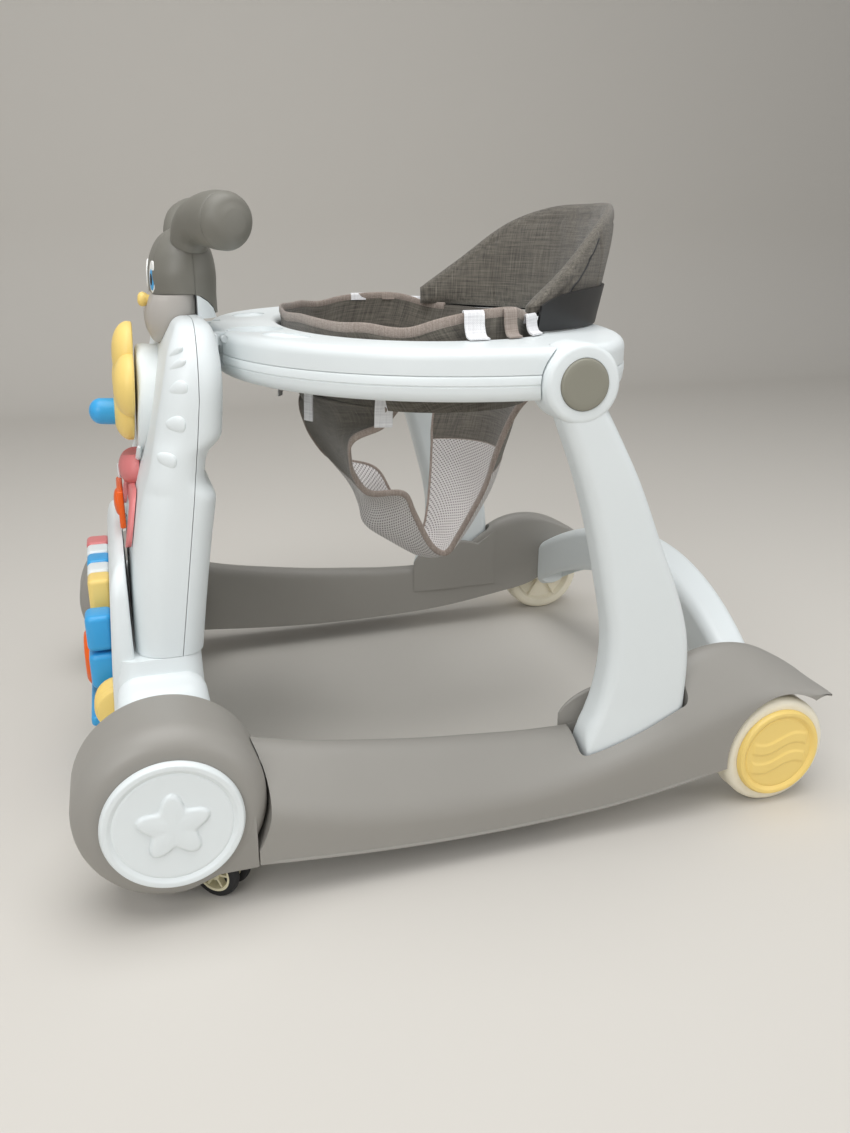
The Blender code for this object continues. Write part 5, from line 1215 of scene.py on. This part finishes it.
tape = tube("band_tape", path_through(line, 420), 0.0046, 16, thin=0.34)
rim_tape = [finish(with_thread(tape), "tray", TAPE)]

# %% [markdown]
# ### The sling
#
# The sling is narrow between the legs and wide at both ends, so its edges are deep curves: these are
# the leg holes. A row of the surface is the parabola P(w) = centre + (edge - centre) w^2 in y and z,
# with x = edge_x * w. Melange cloth covers its upper parts and white mesh the part that takes the weight.

# %% Sling surface
LEG_EDGE = ((0.168, 0.035, 0.400), (0.165, -0.030, 0.399), (0.150, -0.060, 0.381), (0.130, -0.084, 0.366),
            (0.115, -0.083, 0.343), (0.100, -0.075, 0.322), (0.085, -0.056, 0.300), (0.062, -0.014, 0.291),
            (0.050, 0.002, 0.263), (0.045, 0.022, 0.225), (0.045, 0.040, 0.214), (0.055, 0.050, 0.236),
            (0.070, 0.058, 0.263), (0.088, 0.066, 0.295), (0.100, 0.070, 0.324), (0.120, 0.067, 0.364),
            (0.135, 0.058, 0.390))
CENTRE = ((-0.112, 0.398), (-0.104, 0.385), (-0.096, 0.372), (-0.086, 0.352), (-0.076, 0.333), (-0.064, 0.308),
          (-0.054, 0.288), (-0.045, 0.262), (-0.036, 0.238), (0.020, 0.203), (0.050, 0.205), (0.072, 0.228),
          (0.092, 0.262), (0.104, 0.295), (0.116, 0.335), (0.121, 0.370), (0.122, 0.398))
rows, knots = 150, np.arange(17)
at = np.linspace(0, 16, rows)
edge = np.stack([through(knots, np.array(LEG_EDGE)[:, k], at) for k in range(3)], -1)
middle = np.stack([through(knots, np.array(CENTRE)[:, k], at) for k in range(2)], -1)
for _ in range(3):
    edge[1:-1] = (edge[:-2] + 2 * edge[1:-1] + edge[2:]) / 4
    middle[1:-1] = (middle[:-2] + 2 * middle[1:-1] + middle[2:]) / 4
w = np.linspace(-1, 1, 61)[None, :]
x = edge[:, :1] * w
y = middle[:, :1] + (edge[:, 1:2] - middle[:, :1]) * w**2
z = middle[:, 1:] + (edge[:, 2:] - middle[:, 1:]) * w**2
rim_y = 0.118 * np.clip(1 - abs(x / 0.197) ** POWER, 0, 1) ** (1 / POWER)
for target, near in ((HOLE_Y - rim_y, 1 - ease(at / 2.2)[:, None]),
                     (HOLE_Y + rim_y, ease((at - 13.8) / 2.2)[:, None])):
    y = y * (1 - near) + target * near
    z = z * (1 - near) + (0.3995 - 0.0005 * abs(w)) * near
sling = np.stack([x, y, z], -1)
du, dv = np.gradient(sling, axis=1), np.gradient(sling, axis=0)
normal = np.cross(du, dv)
normal /= np.maximum(np.linalg.norm(normal, axis=2, keepdims=True), 1e-9)
thread, _, _ = arc_lengths(sling)
calm = 1 - ease((abs(w) - 0.75) / 0.25)
sling = sling + normal * (0.0016 * ripple(thread[..., 0], thread[..., 1], 9, 8, 30, 110) * calm)[..., None]
front_rows = int(np.argmin(abs(at - 5.6)))
rear_rows = int(np.argmin(abs(at - 13.6)))
sections = (("seat_sling_front", slice(0, front_rows + 1), MELANGE, "seat_fabric", 0.0018),
            ("seat_sling_mesh", slice(front_rows, rear_rows + 1), AIR_MESH, "air_mesh", 0.0030),
            ("seat_sling_rear", slice(rear_rows, rows), MELANGE, "seat_fabric", 0.0018))
for name, part, look, slot_name, thick in sections:
    piece, flat, area = cloth(name, sling[part], thick)
    finish(piece, "tray", look, ["seat_crotch"] if name.endswith("mesh") else (), angle=70)
    print(name, "flat", [round(v, 3) for v in flat], "area", round(area, 4))
tapes = {name: [] for name, *_ in sections}
for label, column in (("left", -1), ("right", 0)):
    for name, part, *_ in sections:
        line = sling[part][:, column]
        tape = tube(f"leg_tape_{name[11:]}_{label}", line, 0.0034, 16, thin=0.5)
        tapes[name].append(finish(with_thread(tape), "tray", TAPE))
for name, row in (("seat_sling_front", front_rows), ("seat_sling_rear", rear_rows)):
    seam = tube("seam_tape_" + name[11:], sling[row][1:-1], 0.0014, 10)
    tapes[name].append(finish(with_thread(seam), "tray", TAPE))

# %% [markdown]
# ### Straps
#
# White webbing straps hold the band to the ring at each side, one taupe strap runs between them, and
# the free ends of the adjusting straps hang below the ring.

# %% Straps
def strap(name, middle, across, width, look, thickness=0.0014):
    """Webbing of a width along across, whose middle line follows the points given."""
    line = path_through(middle, 26)
    w = np.linspace(-0.5, 0.5, 7)[None, :, None] * width
    piece, flat, area = cloth(name, line[:, None] + w * np.asarray(across, float), thickness)
    finish(piece, "tray", look, angle=70)


def hole_edge(y, inset):
    """x of the hole's outline at y, moved in by inset."""
    return HOLE_HALF_X * (1 - abs((y - HOLE_Y) / HOLE_HALF_Y) ** POWER) ** (1 / POWER) - inset


SIDE_STRAPS = ((0.0075, 0.0185, WEBBING), (0.0720, 0.0205, WEBBING), (0.0440, 0.0150, TAPE))
STRAP_ENDS = ((-0.0622, 0.0165, 0.3835, (0.25, 0.97), 0.0155), (-0.1135, 0.0115, 0.3770, (0.86, 0.51), 0.0060))
for label, side in SIDES:
    for k, (y, width, look) in enumerate(SIDE_STRAPS):
        edge_x = hole_edge(y, 0)
        top = float(np.interp(y, (0.0, 0.044, 0.072), (0.4850, 0.4858, 0.4790)))
        top = 0.4680 + (top - 0.4680) * (1 if side > 0 else 0.55)
        points = sided(side, (edge_x - 0.0065, y, top - 0.006), (edge_x - 0.0044, y, top + 0.0016),
                       (edge_x - 0.0012, y, top + 0.0006), (edge_x + 0.0012, y, 0.4640 + (top - 0.4640) * 0.45),
                       (edge_x + 0.0060, y, 0.4662), (edge_x + 0.0150, y, 0.4646))
        slope = (hole_edge(y + 0.004, 0) - hole_edge(y - 0.004, 0)) / 0.008
        across = np.array((side * slope, 1.0, 0.0)) / math.hypot(slope, 1)
        strap(f"side_strap_{label}_{k + 1}", points, across, width, look)
    for k, (y, width, foot, way, inset) in enumerate(STRAP_ENDS):
        x = hole_edge(y, inset)
        points = sided(side, (x + 0.0030, y, 0.4300), (x + 0.0010, y, 0.4150), (x + 0.0004, y - 0.001, 0.4000),
                       (x + 0.0016, y - 0.002, foot))
        strap(f"strap_end_{label}_{k + 1}", points, (way[0] * side, way[1], 0.0), width, WEBBING)

# %% [markdown]
# ### The backrest
#
# The backrest is a padded pocket of melange cloth, thickest in the middle, that curves round the rear
# of the ring and falls away at both wings. A stitched seam crosses each wing and a hem runs along the
# top. A black plate behind it keeps it upright.

# %% Backrest
BACK_SPAN = 74  # degrees each side of the middle
AROUND = 64


def backrest_grid(turns):
    """Sections round the rear: an upright pocket between foot(turn) and top(turn) that leans out.

    Its half thickness is 7 mm + 3.5 mm * sin(pi v)^0.7, less the seams and the hem, plus the wrinkles.
    """
    angle = np.radians(turns)[:, None]
    top = through((-BACK_SPAN, -60, -40, -22, 0, 22, 40, 60, BACK_SPAN),
                  (0.484, 0.514, 0.557, 0.574, 0.577, 0.574, 0.557, 0.514, 0.484), turns)[:, None]
    s = np.linspace(0, TURN, AROUND, endpoint=False)[None, :]
    v = 0.5 - 0.5 * np.sign(np.cos(s)) * abs(np.cos(s)) ** 0.62
    face = np.sign(np.sin(s)) * abs(np.sin(s)) ** 0.55
    end = np.clip((BACK_SPAN - abs(turns)) / 9, 0, 1)[:, None]
    closing = 0.16 + 0.84 * np.sqrt(np.clip(1 - (1 - end) ** 2, 0, 1))
    arc = 0.17 * angle
    half = (0.0070 + 0.0035 * np.sin(np.pi * v) ** 0.7) * closing
    seams = sum(np.exp(-((arc - side * (0.118 + 0.012 * v)) / 0.0016) ** 2) for side in (-1, 1))
    foot = 0.4665 + 0.0110 * ease((turns[:, None] - 34) / 40) + 0.0020 * ease((-turns[:, None] - 34) / 40)
    height = foot + (top + 0.003 - foot) * v
    hem = np.exp(-((top - height - 0.0105) / 0.0013) ** 2)
    wrinkle = (0.0021 * ripple(arc * 1.3, height * 0.6, 12, 9, 28, 120)
               + 0.0008 * np.sin(arc * 190 + 14 * v) * v**2)
    half = half - 0.0016 * seams - 0.0012 * hem + wrinkle * np.sin(np.pi * v) ** 0.5
    lean = 0.020 * (height - 0.4665) / 0.11
    reach = 0.1645 + lean + face * half + 0.0020 * np.sin(arc * 26) * v
    x, y = reach * 1.02 * np.sin(angle), 0.030 + reach * np.cos(angle)
    grid = np.stack([x, y, np.broadcast_to(height, x.shape)], -1)
    run = np.stack([np.broadcast_to(arc, x.shape), np.broadcast_to(height - 0.46, x.shape), face * 0.01 + 0 * x],
                   -1)
    return grid, run


turns = np.linspace(-BACK_SPAN, BACK_SPAN, 230)
grid, run = backrest_grid(turns)
back = surface("seat_back_pad", grid, thread=run)
finish(back, "tray", MELANGE, ["seat_back"], angle=70)
for label, side in SIDES:
    share = np.linspace(0, 1, 60)
    turn_at, v_at = side * (72 - 27 * share), 0.20 + 0.72 * share
    around = np.arccos(np.sign(0.5 - v_at) * abs(1 - 2 * v_at) ** (1 / 0.62))
    last = len(turns) - 1
    i = np.clip(np.round((turn_at + BACK_SPAN) / (2 * BACK_SPAN) * last).astype(int), 0, last)
    line = grid[i, np.round(around / TURN * AROUND).astype(int)]
    for _ in range(6):
        line[1:-1] = (line[:-2] + 2 * line[1:-1] + line[2:]) / 4
    seam = tube("wing_seam_" + label, line, 0.0009, 10)
    finish(with_thread(seam), "tray", BLACK)
angle = np.radians(np.linspace(-72, 72, 110))[:, None]
section = corners(-0.0015, 0.0015, 0, 1, [0.0014] * 4, 4)[0]
height = 0.4640 + 0.037 * section[:, 1] * np.sqrt(np.clip(1.0 - (abs(angle) / np.radians(72)) ** 8 * 0.6, 0, 1))
reach = 0.1795 + 0.008 * (height - 0.464) / 0.040 + section[:, 0]
bent = np.stack([reach * 1.02 * np.sin(angle), 0.026 + reach * np.cos(angle), height], -1)
plate = surface("back_plate_skin", bent)
finish(plate, "tray", BLACK, ["back_plate"])

# %% [markdown]
# ## The solids that show as they are
#
# The hinge bracket, hinge pin and axles are plain machined or moulded shapes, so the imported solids
# stay and only get their materials. The electronics inside the column do too, though the shells hide them.

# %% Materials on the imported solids
for name, look in (("tray_hinge_bracket", WHITE), ("tray_hinge_pin", WHITE), ("circuit_board", BOARD),
                   ("speaker", BLACK), ("battery_box", BLACK), ("rear_axle_left", STEEL),
                   ("rear_axle_right", STEEL)):
    nodes[name].data.materials.clear()
    nodes[name].data.materials.append(look)
left = sorted(name for name, solid in nodes.items() if not solid.hide_render)
print("packed solids that still show:", left)

# %% [markdown]
# ## Floor, light and camera
#
# A plain pale floor bends up into a wall. A large soft light hangs overhead, and two weaker ones at the
# front and the rear of the near side keep the shapes readable. The camera looks from the child's left,
# a little ahead and above.

# %% Floor and light
def cyclorama(name):
    """A floor that bends up into a wall: a quarter circle of 0.6 m radius, starting 2.2 m away."""
    a = np.linspace(0, np.pi / 2, 24)
    profile = np.concatenate([[(3.0, 0.0)], np.column_stack([-2.2 - 0.6 * np.sin(a), 0.6 - 0.6 * np.cos(a)]),
                              [(-2.8, 3.5)]])
    grid = np.stack([np.column_stack([profile[:, 0], np.full(len(profile), y), profile[:, 1]])
                     for y in (-4.0, 4.0)], 1)
    made = surface(name, grid, wrap=(False, False), caps=False)
    made.data.shade_smooth()
    return made


floor = cyclorama("studio_floor")
look, tree, shader = new_material("pale_floor", 0.75)
shader.inputs["Base Color"].default_value = linear("CFCBC4")
floor.data.materials.append(look)
floor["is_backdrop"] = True


def area_light(name, place, aim, size, watts):
    """A round soft light at place that shines at aim."""
    light = bpy.data.lights.new(name, "AREA")
    light.shape = "DISK"
    light.size = size
    light.energy = watts
    made = bpy.data.objects.new(name, light)
    bpy.context.scene.collection.objects.link(made)
    made.location = place
    made.rotation_euler = (Vector(aim) - Vector(place)).to_track_quat("-Z", "Y").to_euler()
    made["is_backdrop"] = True


area_light("overhead", (0.4, -0.2, 2.4), (0, 0, 0.2), 2.4, 44)
area_light("window", (1.9, -1.6, 1.5), (0, 0, 0.3), 1.4, 20)
area_light("fill", (1.6, 1.9, 1.2), (0, 0, 0.3), 1.6, 11)
world = bpy.data.worlds.new("soft_room")
world.use_nodes = True
world.node_tree.nodes["Background"].inputs["Color"].default_value = linear("DDDEDF")
world.node_tree.nodes["Background"].inputs["Strength"].default_value = 0.50
bpy.context.scene.world = world

# %% Camera
view = bpy.data.cameras.new("camera")
view.lens = 30.6
camera = bpy.data.objects.new("camera", view)
bpy.context.scene.collection.objects.link(camera)
camera.location = (1.005, -0.293, 0.55)
camera.rotation_euler = Vector((-0.8997, 0.2889, -0.3272)).to_track_quat("-Z", "Y").to_euler()
bpy.context.scene.camera = camera
bpy.context.scene.view_settings.view_transform = "Standard"

# %% Sizes and finish
low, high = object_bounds()
print("visual", [round(v, 4) for corner in (low, high) for v in corner])
